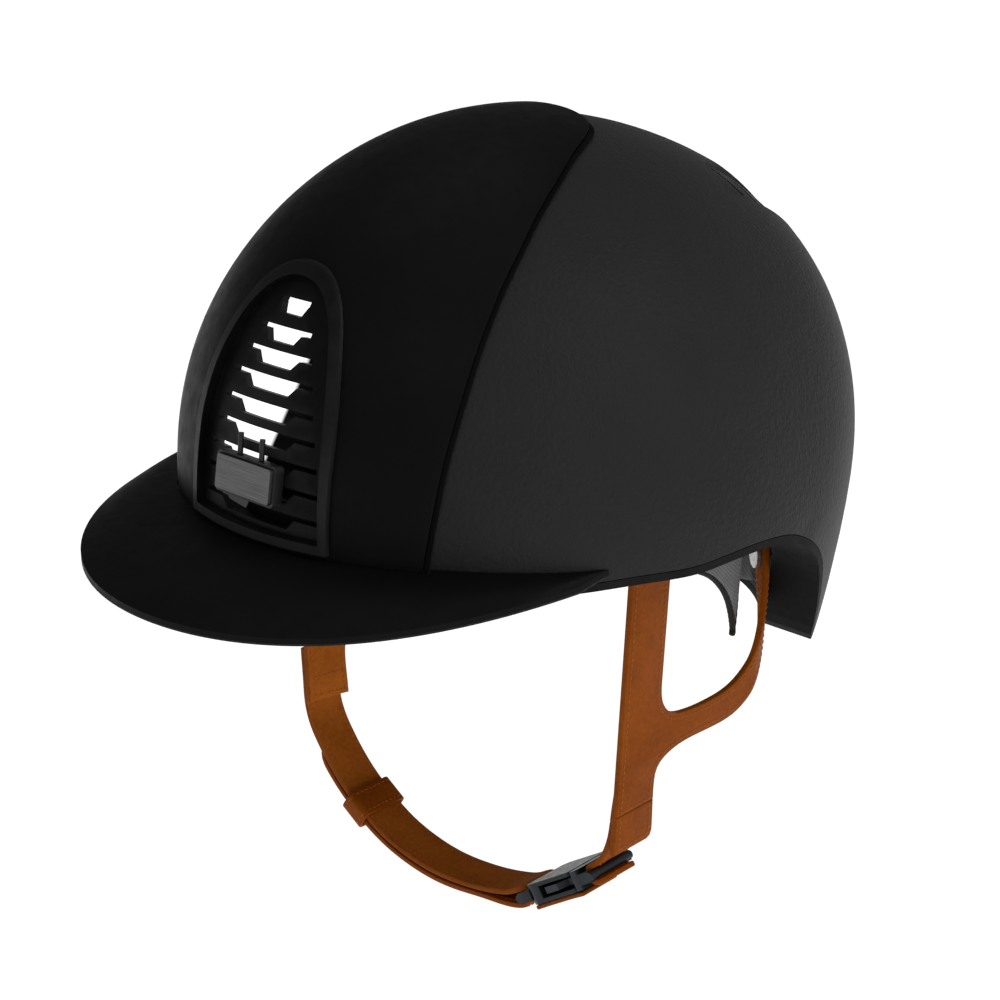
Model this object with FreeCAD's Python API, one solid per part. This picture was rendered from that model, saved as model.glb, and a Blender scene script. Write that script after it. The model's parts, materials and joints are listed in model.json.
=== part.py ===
import FreeCAD, Part
import math
import os

os.makedirs("parts", exist_ok=True)

# Riding helmet, in millimetres. The origin is the middle of the head opening, level with
# the rider's brow: +Z is up, the peak points to -Y, and the rider's left ear is at +X.
V = FreeCAD.Vector

# Driving dimensions
HALF_WIDTH = 109.0          # dome half width at its widest line
POLE_Z = -15.0              # height of the side-to-side axis the dome is drawn round
SIDE_TUCK = 1.2e-5          # how strongly the sides draw in below TUCK_Z
TUCK_Z = 45.0
FRONT_DEG = [-10, 15, 40, 65, 90, 115, 140, 165, 190, 205]
DOME_R = [122.6, 127.7, 144.4, 151.8, 150.3, 149.0, 149.1, 129.3, 122.8, 130.9]
SHELL_T = 3.0               # moulded outer shell
PANEL_T = 2.7               # raised centre panel
GAP = 0.3                   # clearance between separate pieces
FOAM_T = 16.4               # impact foam
PAD_T = 5.6                 # comfort padding
TRIM_H = 2.6                # depth of the moulded edge trim
STRAP_T = 2.3               # harness leather
STRAP_W = 19.4              # front leg of the harness
CHIN_W = 17.0               # chin strap
LOOP_Y = -28.0              # the plane the harness hangs in
BUCKLE_IN = (66.0, -112.5)  # x and z where the near strap enters the buckle
BUCKLE_OUT = (38.0, -131.5)

# The lower rim seen from the side, brow to nape, as y and z
RIM = [(-150, 9.5), (-110, 9.2), (-75, 9.2), (-52, 9.4), (-31, 8.2), (-11, 9.0), (1, 8.4),
       (13.5, 6.2), (22, 2.6), (30, -2.4), (37, -8.6), (42.6, -16), (47, -25), (50.6, -33),
       (54, -42), (58.6, -49.2), (66, -52.4), (78, -53.2), (105, -53.8), (150, -54.2)]


def radius_curve():
    curve = Part.BSplineCurve()
    points = [V(r, 0, 0) for r in DOME_R]
    curve.interpolate(Points=points, Parameters=[float(d) for d in FRONT_DEG])
    return curve


RADIUS = radius_curve()


def dome_radius(beta):
    if beta > 205:
        return DOME_R[-1] + 0.45 * (beta - 205)
    return RADIUS.value(max(beta, -10.0)).x


def dome_point(u, beta):
    # u turns from the centre line to the ear, beta from the brow over the crown to the nape
    s = math.sin(math.radians(u))
    c = math.cos(math.radians(u))
    rho = dome_radius(beta) * abs(c) ** 0.93
    y = -rho * math.cos(math.radians(beta))
    z = POLE_Z + rho * math.sin(math.radians(beta))
    x = HALF_WIDTH * math.copysign(abs(s) ** 1.03, s)
    x *= 1 - SIDE_TUCK * max(0.0, TUCK_Z - z) ** 2
    return V(x, y, z)


def offset_point(u, beta, off):
    d = 0.5
    du = dome_point(u + d, beta) - dome_point(u - d, beta)
    db = dome_point(u, beta + d) - dome_point(u, beta - d)
    n = db.cross(du)
    n.normalize()
    p = dome_point(u, beta)
    if n.dot(p - V(0, 0, POLE_Z)) < 0:
        n = n * -1
    return p + n * off


def as_function(value):
    return value if callable(value) else lambda beta: value


def thick_patch(rows, outer, inner):
    # rows of (u, beta) across the dome become a wall between two offsets from its face
    outer, inner = as_function(outer), as_function(inner)
    out_pts = [[offset_point(u, b, outer(b)) for u, b in row] for row in rows]
    in_pts = [[offset_point(u, b, inner(b)) for u, b in row] for row in rows]
    return wall_between(out_pts, in_pts)


def wall_between(out_pts, in_pts):
    surfs = []
    for pts in (out_pts, in_pts):
        s = Part.BSplineSurface()
        s.interpolate(pts)
        surfs.append(s)
    faces = [s.toShape() for s in surfs]
    edges = []
    for s in surfs:
        u0, u1, v0, v1 = s.bounds()
        edges.append([s.uIso(u0), s.uIso(u1), s.vIso(v0), s.vIso(v1)])
    for a, b in zip(edges[0], edges[1]):
        faces.append(Part.makeRuledSurface(a.toShape(), b.toShape()))
    shell = Part.makeShell(faces)
    shell.sewShape()
    solid = Part.makeSolid(shell)
    if solid.Volume < 0:
        solid.reverse()
    return solid


def steps(a, b, n):
    return [a + (b - a) * i / (n - 1) for i in range(n)]


def dome_rows(u_lim, b0, b1, nu=15, nb=24):
    return [[(u, b) for u in steps(-u_lim, u_lim, nu)] for b in steps(b0, b1, nb)]


def side_prism(points, x0, x1):
    # a closed outline of (y, z) carried across the helmet
    wire = Part.makePolygon([V(x0, y, z) for y, z in points + points[:1]])
    return Part.Face(wire).extrude(V(x1 - x0, 0, 0))


def front_prism(points, y0, y1):
    wire = Part.makePolygon([V(x, y0, z) for x, z in points + points[:1]])
    return Part.Face(wire).extrude(V(0, y1 - y0, 0))


def smooth(points, n=70):
    curve = Part.BSplineCurve()
    curve.interpolate([V(0, y, z) for y, z in points])
    return [(p.y, p.z) for p in curve.discretize(n)]


def raised(points, h):
    out = []
    for i, (y, z) in enumerate(points):
        y0, z0 = points[max(i - 1, 0)]
        y1, z1 = points[min(i + 1, len(points) - 1)]
        d = math.hypot(y1 - y0, z1 - z0)
        out.append((y - (z1 - z0) / d * h, z + (y1 - y0) / d * h))
    return out


RIM_LINE = smooth(RIM)


def above_rim(h):
    line = raised(RIM_LINE, h)
    return side_prism(line + [(150, 160), (-150, 160)], -130, 130)


def largest(shape):
    return max(shape.Solids, key=lambda s: s.Volume)


def save(shape, node):
    shape.exportStep("parts/" + node + ".step")


def mirrored(shape):
    return shape.mirror(V(0, 0, 0), V(1, 0, 0))


# ---------------------------------------------------------------- front vent outlines
# Half outlines of the arch seen from the front, as x and z, foot to apex
ARCH_IN = [(28.6, 23.6), (27.9, 50), (25.6, 68), (22, 80), (16.8, 89.8), (10.4, 96), (4.8, 98.4), (0, 99)]
ARCH_OUT = [(31.4, 20.7), (31.2, 50), (29, 69), (25, 82), (19.3, 92.8), (12.4, 99.5), (5.6, 102.4), (0, 103)]


def arch(points, grow=0.0):
    half = []
    for x, z in points:
        cx, cz = 0.0, 50.0
        d = math.hypot(x - cx, z - cz)
        half.append((x + (x - cx) / d * grow, z + (z - cz) / d * grow))
    curve = Part.BSplineCurve()
    curve.interpolate([V(x, 0, z) for x, z in half[1:]] + [V(-x, 0, z) for x, z in half[-2:0:-1]])
    top = [(p.x, p.z) for p in curve.discretize(48)]
    return [half[0]] + top + [(-half[0][0], half[0][1])]


def arch_prism(points, grow=0.0):
    return front_prism(arch(points, grow), -170, -55)


SLEEVE_T = 1.4
vent_hole = arch_prism(ARCH_IN, SLEEVE_T + GAP)

# ---------------------------------------------------------------- outer shell
def rear_vent(grow, outer, inner):
    rows = []
    for b, w0, w1 in ((110.8, 22, 28), (112.5, 19, 28.2), (115, 16, 28), (119, 13.5, 27.5), (124, 12, 26.8),
                      (130, 12.5, 25.6), (136, 14, 23.6), (139.5, 16, 20.5)):
        centre = 0.5 * (w0 + w1)
        half = 0.5 * (w1 - w0) + grow
        rows.append([(u, 125 + (b - 125) * (1 + grow * 0.06)) for u in steps(centre - half, centre + half, 5)])
    return thick_patch(rows, outer, inner)


dome_shell = thick_patch(dome_rows(84, -9, 216), 0.0, -SHELL_T)
main_shell = dome_shell.common(above_rim(TRIM_H + GAP)).cut(vent_hole)
for side in (rear_vent(0.0, 4.0, -8.0), mirrored(rear_vent(0.0, 4.0, -8.0))):
    main_shell = main_shell.cut(side)
main_shell = largest(main_shell)
save(main_shell, "main_shell")

# ---------------------------------------------------------------- raised centre panel
# Half width of the panel in degrees at each station over the dome, brow to its rear tab
PANEL = [(4, 31.6), (12, 31.9), (18.3, 32.1), (25.5, 32.8), (34.4, 33.2), (42.8, 33.0), (50.9, 31.8),
         (54.4, 31.1), (58, 30.2), (63.9, 28.6), (70.8, 25.9), (77.2, 23.0), (84.2, 18.8), (88, 16.3),
         (90, 14.8), (91.5, 13.2), (92.6, 11.2), (93.4, 8.6), (93.9, 5)]


def panel_rows(extra):
    rows = []
    for b, w in PANEL:
        b2 = b + extra * min(max((b - 80) / 12.0, 0.0), 1.0)
        grow = extra * (1.0 if b < 90 else 0.9)
        rows.append([(u, b2) for u in steps(-w - grow, w + grow, 11)])
    return rows


panel = thick_patch(panel_rows(0.0), GAP + PANEL_T, GAP)
panel = panel.common(above_rim(8.0)).cut(vent_hole)
save(largest(panel), "front_panel")

bead = thick_patch(panel_rows(0.8), GAP + 0.9, GAP)
bead = bead.cut(thick_patch(panel_rows(0.1), 6.0, -2.0)).common(above_rim(8.0))
save(largest(bead), "seam_gasket")

# ---------------------------------------------------------------- front vent
def proud(beta):
    return 4.8 - 0.8 * min(max((beta - 34) / 14.0, 0.0), 1.0)


front_rows = dome_rows(30, 4, 62, nu=9, nb=12)
rim_ring = thick_patch(front_rows, proud, PANEL_T + 2 * GAP)
rim_ring = rim_ring.common(arch_prism(ARCH_OUT)).cut(arch_prism(ARCH_IN))
sleeve = thick_patch(front_rows, PANEL_T + 2 * GAP + 0.6, -5.6)
sleeve = sleeve.common(arch_prism(ARCH_IN, SLEEVE_T)).cut(arch_prism(ARCH_IN))
grille_frame = largest(rim_ring.fuse(sleeve))
save(grille_frame, "grille_frame")

# Each opening of the louvre panel: height, half width of the thin gap, then the half
# widths of the deeper middle notch at its top and bottom
SLOTS = [(90.8, 6.2, 6.0, 4.6), (83.0, 11.3, 7.8, 5.6), (76.3, 15.0, 10.2, 7.4), (69.0, 17.8, 12.0, 9.0),
         (61.0, 20.3, 13.6, 10.4), (53.4, 22.4, 15.0, 11.8), (45.6, 24.2, 16.0, 12.8),
         (37.7, 25.4, 16.6, 13.4), (29.4, 26.0, 17.0, 14.0)]
SLOT_H = 1.7
NOTCH_H = 4.3


def midline_y(z, off):
    lo, hi = 0.0, 80.0
    for _ in range(30):
        mid = 0.5 * (lo + hi)
        if offset_point(0, mid, off).z < z:
            lo = mid
        else:
            hi = mid
    return offset_point(0, lo, off).y


louvre = thick_patch(front_rows, 1.2, -1.2).common(arch_prism(ARCH_IN, -0.15))
slot_dir = V(0, math.cos(math.radians(14)), -math.sin(math.radians(14)))
for z, wide, n_top, n_low in SLOTS:
    top = z + SLOT_H / 2
    low = z - SLOT_H / 2
    y = midline_y(z, 0.0) - 14
    dz = 14 * math.tan(math.radians(14))
    pts = [(-wide, top), (wide, top), (wide, low), (n_top, low), (n_low, z - NOTCH_H),
           (-n_low, z - NOTCH_H), (-n_top, low), (-wide, low)]
    wire = Part.makePolygon([V(px, y, pz + dz) for px, pz in pts + pts[:1]])
    louvre = louvre.cut(Part.Face(wire).extrude(slot_dir * 34))
save(largest(louvre), "louvre_panel")

# Name plate holder on two stems, and the plain plate set into it
BADGE_Y, BADGE_Z, BADGE_W, BADGE_H = -127.4, 39.5, 25.0, 11.0
BADGE_TILT = -9.5


def tilted(shape):
    shape.rotate(V(0, BADGE_Y, BADGE_Z), V(1, 0, 0), BADGE_TILT)
    return shape


def rounded_block(w, d, h, r, centre):
    box = Part.makeBox(w, d, h, V(centre[0] - w / 2, centre[1] - d / 2, centre[2] - h / 2))
    return box.makeFillet(r, [e for e in box.Edges if abs(e.tangentAt(e.FirstParameter).y) > 0.9])


holder = rounded_block(BADGE_W + 2.2, 3.6, BADGE_H + 2.0, 1.6, (0, BADGE_Y + 2.0, BADGE_Z))
recess = rounded_block(BADGE_W + 0.4, 2.0, BADGE_H + 0.4, 1.0, (0, BADGE_Y, BADGE_Z))
holder = tilted(holder.cut(recess))
for x in (-5.0, 5.0):
    holder = holder.fuse(Part.makeCylinder(0.9, 9.5, V(x, BADGE_Y + 2.4, BADGE_Z), V(0, 1, 0.28)))
    holder = holder.fuse(Part.makeCylinder(0.9, 10.0, V(x, BADGE_Y + 2.6, BADGE_Z + 3.0), V(0, 0.12, 1)))
holder = largest(holder.cut(thick_patch(front_rows, 1.45, -20.0)).removeSplitter())
save(holder, "badge_holder")
plate = rounded_block(BADGE_W, 1.6, BADGE_H, 0.9, (0, BADGE_Y - 0.1, BADGE_Z))
save(tilted(plate), "badge_plate")

# ---------------------------------------------------------------- peak
EDGE_X, EDGE_Y, EDGE_REACH, EDGE_Z, EDGE_LIFT = 95.3, -14.4, -156.3, 9.0, 5.5
PEAK_T = 1.7
LINING_T = 0.6
# Root of the peak on the shell, as x, y and z from the middle outwards
ROOT = [(0, -118.5, 19.6), (30, -113, 19.4), (44, -108, 19.2), (56, -100.5, 19.0), (72, -86, 18.2),
        (84, -70, 16.8), (92.5, -52, 14.6), (95.5, -43, 13.4)]


def peak_edge(t):
    s = math.sin(math.radians(t))
    c = abs(math.cos(math.radians(t))) ** 0.67
    return V(EDGE_X * s, EDGE_Y + EDGE_REACH * c, EDGE_Z + EDGE_LIFT * abs(s) ** 3)


root_curve = Part.BSplineCurve()
root_curve.interpolate([V(-x, y, z) for x, y, z in ROOT[:0:-1]] + [V(x, y, z) for x, y, z in ROOT])


def peak_surface(drop):
    rows = []
    n = 29
    for i in range(n):
        k = 2.0 * i / (n - 1) - 1.0
        edge = peak_edge(76.0 * math.copysign(abs(k) ** 1.35, k))
        root = root_curve.value(root_curve.LastParameter * (0.5 + 0.5 * k))
        row = []
        for s in steps(0, 1, 7):
            p = root + (edge - root) * s
            row.append(p + V(0, 0, 2.6 * math.sin(math.pi * s) - drop))
        rows.append(row)
    return rows


inside = thick_patch(dome_rows(84, -9, 80, nb=14), GAP, -40.0)
panel_room = thick_patch(panel_rows(1.1), PANEL_T + 2 * GAP, -10.0)
for node, top, under in (("visor", 0.0, PEAK_T), ("visor_lining", PEAK_T + 0.1, PEAK_T + 0.1 + LINING_T)):
    piece = wall_between(peak_surface(top), peak_surface(under))
    piece = piece.cut(inside).cut(panel_room)
    save(largest(piece), node)

# ---------------------------------------------------------------- edge trim and foam
IN_FACE = -(SHELL_T + GAP + FOAM_T)
band = side_prism(RIM_LINE + raised(RIM_LINE, TRIM_H)[::-1], -130, 130)
trim = thick_patch(dome_rows(84, -9, 216), 0.0, IN_FACE).common(band)

FUNNEL_OUT = [(31.5, 21.4), (31, 50), (29, 69), (25.6, 82), (19.8, 92.6), (12.4, 99.2), (5.4, 101.6), (0, 102)]
FUNNEL_IN = [(27.5, 22), (26.2, 38), (22.5, 48), (17, 55.5), (11, 62.5), (6.5, 67.5), (3, 70.3), (0, 71)]


def funnel_plane(y_plane):
    half = []
    for (xo, zo), (xi, zi) in zip(FUNNEL_OUT, FUNNEL_IN):
        yo = midline_y(zo, -SHELL_T) + 0.0042 * xo * xo
        yi = midline_y(zi, IN_FACE) + 0.0042 * xi * xi
        k = (y_plane - yo) / (yi - yo)
        half.append(V(xo + (xi - xo) * k, y_plane, zo + (zi - zo) * k))
    ring = half + [V(-p.x, p.y, p.z) for p in half[-2::-1]]
    return Part.makePolygon(ring + ring[:1])


funnel = Part.makeLoft([funnel_plane(-124), funnel_plane(-82)], True, True)
foam = thick_patch(dome_rows(84, -9, 216), -(SHELL_T + GAP), IN_FACE)
foam = foam.common(above_rim(TRIM_H + GAP)).cut(funnel)
foam = foam.cut(arch_prism(ARCH_IN, SLEEVE_T + GAP).common(thick_patch(front_rows, 0.0, -6.2)))

# ---------------------------------------------------------------- harness anchors
ANCHOR_Z = 33.0


HARNESS_X0, HARNESS_LEAN = 82.16, 0.055


def harness_x(z):
    # outer face of the near side harness; it leans in a little towards the chin
    return HARNESS_X0 + HARNESS_LEAN * z


def rod(p, n, r, start, end):
    return Part.makeCylinder(r, end - start, p + n * start, n)


def anchor(p, n, reach):
    # rivet with a flat head inside the leather and a washer buried in the foam
    head = -(STRAP_T + 0.35)
    rivet = rod(p, n, 5.2, head - 1.3, head)
    rivet = rivet.fuse(rod(p, n, 1.8, head - 0.5, reach - 0.6))
    return rivet.fuse(rod(p, n, 5.0, reach - 1.4, reach))


REAR_TURN = V(1, 1.32, 0)
REAR_TURN.normalize()
ANCHORS = [(V(harness_x(ANCHOR_Z), LOOP_Y, ANCHOR_Z), V(1, 0, 0), 13.6),
           (V(harness_x(-20) - 14.5, 54, -20), REAR_TURN, 18.0)]
anchors = []
for p, n, reach in ANCHORS:
    one = anchor(p, n, reach)
    anchors += [one, mirrored(one)]
    hole = rod(p, n, 2.1, -4, reach).fuse(rod(p, n, 5.3, reach - 1.7, reach + 30)).fuse(rod(p, n, 5.6, -20, 0))
    foam = foam.cut(hole).cut(mirrored(hole))
save(Part.makeCompound(anchors), "strap_anchors")

# ---------------------------------------------------------------- harness sides
LEG_FRONT = LOOP_Y - STRAP_W / 2
LEG_REAR = LOOP_Y + STRAP_W / 2


def hung_sheet(x_top, lean, z_range, y_start, y_bend, y_end, rate, off, thick):
    # a wall that leans with height, flat up to y_bend and then turning in towards the nape
    def point(y, o):
        reach = y - y_bend
        n = V(1, 2 * rate * reach, 0)
        n.normalize()
        return V(x_top + lean * z_range[0] - rate * reach ** 2, y, z_range[0]) + n * o

    curves = []
    for o in (off, off - thick):
        curve = Part.BSplineCurve()
        curve.interpolate(Points=[point(y, o) for y in steps(y_bend, y_end, 6)], InitialTangent=V(0, 1, 0),
                          FinalTangent=V(-2 * rate * (y_end - y_bend), 1, 0))
        curves.append(curve)
    outer, inner = curves
    start_out = V(outer.StartPoint.x, y_start, z_range[0])
    start_in = V(inner.StartPoint.x, y_start, z_range[0])
    edges = [Part.makeLine(start_out, outer.StartPoint), outer.toShape(),
             Part.makeLine(outer.EndPoint, inner.EndPoint), inner.toShape(),
             Part.makeLine(inner.StartPoint, start_in), Part.makeLine(start_in, start_out)]
    wire = Part.Wire(Part.__sortEdges__(edges))
    height = z_range[1] - z_range[0]
    return Part.Face(wire).extrude(V(lean * height, 0, height))


def leg_sheet(off, thick):
    # the wall that a harness side is cut from
    return hung_sheet(HARNESS_X0, HARNESS_LEAN, (-112, 52), -44, 32, 66, 0.030, off, thick)


def spline_points(points, n):
    curve = Part.BSplineCurve()
    curve.interpolate([V(0, y, z) for y, z in points])
    return [(p.y, p.z) for p in curve.discretize(n)]


leg_low = [(LEG_FRONT, 46), (LEG_FRONT, -100.9), (-20.6, -100.9), (-18.8, -100.1), (-18.0, -98.2), (-18.0, -96)]
leg_under = spline_points([(-18.3, -90), (-18.6, -80), (-17.4, -74.2), (-11, -70.4), (0, -69.2), (14, -69.6),
                           (26, -68.2), (36, -62), (43.5, -52), (49, -41), (54.5, -28), (60, -15)], 36)
leg_over = spline_points([(49, -11), (44.5, -24), (41, -34), (36.5, -44.6), (30.5, -52), (23, -56.4), (10, -58.2),
                          (-4, -57.4), (-13, -54.4), (-17.2, -49), (LEG_REAR, -40)], 30)
outline = leg_low + leg_under + leg_over + [(LEG_REAR, 46)]
left_leg = leg_sheet(0.0, STRAP_T).common(side_prism(outline, 20, 120))
for p, n, reach in ANCHORS:
    left_leg = left_leg.cut(rod(p, n, 2.1, -8, 8))
left_leg = largest(left_leg)
save(left_leg, "left_y_strap")
# the far side ends a little higher, because the chin strap passes outside it
END_Y, END_Z = LEG_FRONT - 2, -94.6
right_leg = mirrored(left_leg).cut(side_prism([(END_Y, END_Z + 1.5), (LEG_REAR + 2, END_Z - 1.5),
                                               (LEG_REAR + 2, -130), (END_Y, -130)], -120, 0))
save(largest(right_leg), "right_y_strap")

# Room for the leather in the foam and in the edge trim
pocket_front = side_prism([(LEG_FRONT - 0.5, -20), (LEG_REAR + 0.5, -20), (LEG_REAR + 0.5, 47), (LEG_FRONT - 0.5, 47)],
                          40, 120)
pocket_rear = side_prism([(34, -50), (64, -50), (64, -8), (34, -8)], 40, 120)
for pocket in (pocket_front, pocket_rear):
    room = leg_sheet(GAP, STRAP_T + 2 * GAP).common(pocket)
    foam = foam.cut(room).cut(mirrored(room))
    trim = trim.cut(room).cut(mirrored(room))
save(largest(foam), "eps_liner")
save(largest(trim), "rim_trim")

# ---------------------------------------------------------------- comfort padding
PAD_OUT = IN_FACE - GAP
front_pad = thick_patch(dome_rows(40, 6, 33, nb=8), PAD_OUT, PAD_OUT - PAD_T)
save(largest(front_pad.common(above_rim(1.0))), "front_comfort_pad")

crown = thick_patch(dome_rows(50, 56, 140, nb=14), PAD_OUT, PAD_OUT - 3.4)
save(crown, "crown_liner")

pad_rows = [[(u, b) for u in steps(53, 78, 7)] for b in steps(24, 150, 18)]
side_pad = thick_patch(pad_rows, PAD_OUT, PAD_OUT - 7.4).common(above_rim(1.2))
strap_room = leg_sheet(GAP, STRAP_T + 2 * GAP).common(side_prism([(LEG_FRONT - 0.6, 48), (LEG_FRONT - 0.6, -20),
                                                                (LEG_REAR + 0.6, -20), (LEG_REAR + 0.6, 48)], 60, 120))
side_pad = side_pad.cut(strap_room).cut(rod(ANCHORS[0][0], V(1, 0, 0), 5.8, -22, 8))
side_pad = side_pad.cut(side_prism([(LEG_FRONT - 0.6, 48), (LEG_FRONT - 0.6, 0), (LEG_REAR + 0.6, 0),
                                    (LEG_REAR + 0.6, 48)], harness_x(8) - STRAP_T - 0.2, 120))
side_pad = largest(side_pad)
save(side_pad, "left_side_pad")
save(mirrored(side_pad), "right_side_pad")

nape_rows = [[(u, b) for u in steps(-42, 42, 11)] for b in steps(160, 200, 9)]
nape = thick_patch(nape_rows, PAD_OUT, PAD_OUT - 6.5).common(above_rim(1.2))
save(largest(nape), "nape_pad")

# Soft flaps that hang from the side pads behind the ears, bound along their free edges
FLAP_T = 1.6
BIND_W = 2.8
flap_front = spline_points([(-9, 9), (-7, -2), (3, -10.5), (15, -16.5), (25, -26), (32, -37), (38, -47.5)], 24)
flap_rear = spline_points([(38, -47.5), (42, -38), (46.5, -28), (51, -17), (54, -4), (55, 9)], 20)


def flap_sheet(off, thick):
    return hung_sheet(72.56, 0.03, (-56, 16), -16, 24, 60, 0.020, off, thick)


def pulled_in(points, h, centre):
    out = []
    for y, z in points:
        d = math.hypot(y - centre[0], z - centre[1])
        out.append((y + (centre[0] - y) / d * h, z + (centre[1] - z) / d * h))
    return out


flap_outline = flap_front[:-1] + flap_rear
flap_inner = pulled_in(flap_outline, BIND_W, (30, 4))
flap = flap_sheet(-0.3, FLAP_T).common(side_prism(flap_inner, 20, 100))
binding = flap_sheet(0.0, FLAP_T + 0.6).common(side_prism(flap_outline, 20, 100))
binding = binding.cut(side_prism(pulled_in(flap_outline, BIND_W - 0.1, (30, 4)), 20, 100))
for node, piece in (("left_nape_flap", largest(flap)), ("left_flap_binding", largest(binding))):
    save(piece, node)
    save(mirrored(piece), node.replace("left", "right"))

# ---------------------------------------------------------------- rear vent trays
tray = rear_vent(-0.35, -1.8, -3.0)
for b in (116, 120, 124, 128, 132):
    a, c = offset_point(16.5, b, 0), offset_point(23.5, b + 1.5, 0)
    bar = Part.makeBox((c - a).Length, 1.6, 14, V(0, -0.8, -7))
    bar.rotate(V(0, 0, 0), V(0, 0, 1), math.degrees(math.atan2(c.y - a.y, c.x - a.x)))
    bar.translate(V(a.x, a.y, 0.5 * (a.z + c.z)))
    tray = tray.cut(bar)
tray = largest(tray)
save(tray, "left_rear_vent")
save(mirrored(tray), "right_rear_vent")

# ---------------------------------------------------------------- chin strap and buckle
BUCKLE = V(0.5 * (BUCKLE_IN[0] + BUCKLE_OUT[0]), LOOP_Y, 0.5 * (BUCKLE_IN[1] + BUCKLE_OUT[1]))
AXIS = V(BUCKLE_OUT[0] - BUCKLE_IN[0], 0, BUCKLE_OUT[1] - BUCKLE_IN[1])
AXIS.normalize()
OUTWARD = V(-AXIS.z, 0, AXIS.x)
ALONG_Y = V(0, 1, 0)
LEATHER_T = 2.0


def at(s, y, n):
    return BUCKLE + AXIS * s + ALONG_Y * y + OUTWARD * n


def block(s0, s1, y0, y1, n0, n1):
    wire = Part.makePolygon([at(s0, y0, n0), at(s1, y0, n0), at(s1, y1, n0), at(s0, y1, n0), at(s0, y0, n0)])
    return Part.Face(wire).extrude(OUTWARD * (n1 - n0))


def cross_bar(s, r, half):
    return Part.makeCylinder(r, 2 * half, at(s, -half, 0), ALONG_Y)


def outlined(points, n0, n1):
    wire = Part.makePolygon([at(s, y, n0) for s, y in points + points[:1]])
    return Part.Face(wire).extrude(OUTWARD * (n1 - n0))


def softened(shape, r):
    return shape.makeFillet(r, [e for e in shape.Edges if abs(e.tangentAt(e.FirstParameter).dot(OUTWARD)) > 0.99])


def strip(points, thick, width):
    # leather following a path in the plane of the loop
    curve = Part.BSplineCurve()
    curve.interpolate(points)
    n = 4 * len(points)
    mid = curve.discretize(n)
    left, right = [], []
    for i, p in enumerate(mid):
        t = mid[min(i + 1, n - 1)] - mid[max(i - 1, 0)]
        t.normalize()
        side = V(-t.z, 0, t.x) * (thick / 2)
        left.append(p + side)
        right.append(p - side)
    wire = Part.makePolygon(left + right[::-1] + left[:1])
    return Part.Face(wire).extrude(V(0, width, 0)).translated(V(0, -width / 2, 0))


PLUG_BAR, SOCKET_BAR = -17.6, 21.6
LOOP_R = 2.9


def turn(bar, sign):
    # path points of a strap going round a buckle bar, first on the outward side
    pts = []
    for a in (90, 60, 30, 0, -30, -60, -90):
        r = math.radians(a)
        pts.append(at(bar + sign * LOOP_R * math.cos(r), 0, LOOP_R * math.sin(r)))
    return pts


TAB_CLEAR = 0.7
FAR_CLEAR = 1.3
tab_path = [V(harness_x(z) - STRAP_T - TAB_CLEAR - LEATHER_T / 2, LOOP_Y, z) for z in (-73, -80, -88)]
tab_path += [V(72.8, LOOP_Y, -96.5), V(70.4, LOOP_Y, -103.5)]
tab_path += [at(-21.5, 0, -3.4)] + turn(PLUG_BAR, 1)[::-1] + [at(-20.5, 0, 3.0)]
save(strip(tab_path, LEATHER_T, CHIN_W), "left_chin_tab")

# The chin strap's own path, from the buckle round under the chin and up the far cheek
UNDER = [(21.5, -137.2), (12, -139.6), (0, -141.4), (-12, -142), (-25, -140.6), (-38, -137), (-51, -130.2),
         (-63, -121), (-72, -110.8), (-76.9, -103)]
inner_run = [V(x, LOOP_Y, z) for x, z in UNDER]
far_top = [V(-(harness_x(z) + FAR_CLEAR + LEATHER_T / 2), LOOP_Y, z) for z in (-94, -87, -80, -73)]


def shifted(points, d):
    out = []
    for i, p in enumerate(points):
        t = points[min(i + 1, len(points) - 1)] - points[max(i - 1, 0)]
        t.normalize()
        out.append(p + V(t.z, 0, -t.x) * -d)
    return out


outer_run = shifted(inner_run, LEATHER_T + 0.7)
strap_path = far_top[::-1] + inner_run[::-1] + [V(27.6, LOOP_Y, -134.8)] + turn(SOCKET_BAR, -1)[::-1]
strap_path += [V(31.2, LOOP_Y, -139.0), V(23, LOOP_Y, -140.9)] + outer_run[1:-1]
save(strip(strap_path, LEATHER_T, CHIN_W), "chin_strap")

guard = strip([at(-9, 0, 5.3), at(-2, 0, 5.1), at(5, 0, 5.1), at(12, 0, 5.1), at(19, 0, 5.3)], 1.5, CHIN_W + 1.0)
save(guard, "buckle_guard")

# Keeper ring round both layers of the strap
mid_a, mid_b = inner_run[5], inner_run[7]
k_dir = mid_b - mid_a
k_dir.normalize()
k_out = V(k_dir.z, 0, -k_dir.x) * -1
k_pos = 0.5 * (inner_run[6] + outer_run[6])
KEEP_L, KEEP_IN, KEEP_W, KEEP_T = 11.0, 6.6, CHIN_W + 1.0, 1.5


def keeper_block(length, height, width):
    c = k_pos - k_dir * (length / 2) - k_out * (height / 2) - ALONG_Y * (width / 2)
    corners = [c, c + k_dir * length, c + k_dir * length + k_out * height, c + k_out * height, c]
    return Part.Face(Part.makePolygon(corners)).extrude(ALONG_Y * width)


keeper = keeper_block(KEEP_L, KEEP_IN + 2 * KEEP_T, KEEP_W + 2 * KEEP_T)
save(keeper.cut(keeper_block(KEEP_L + 4, KEEP_IN, KEEP_W)), "keeper_loop")

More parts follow.
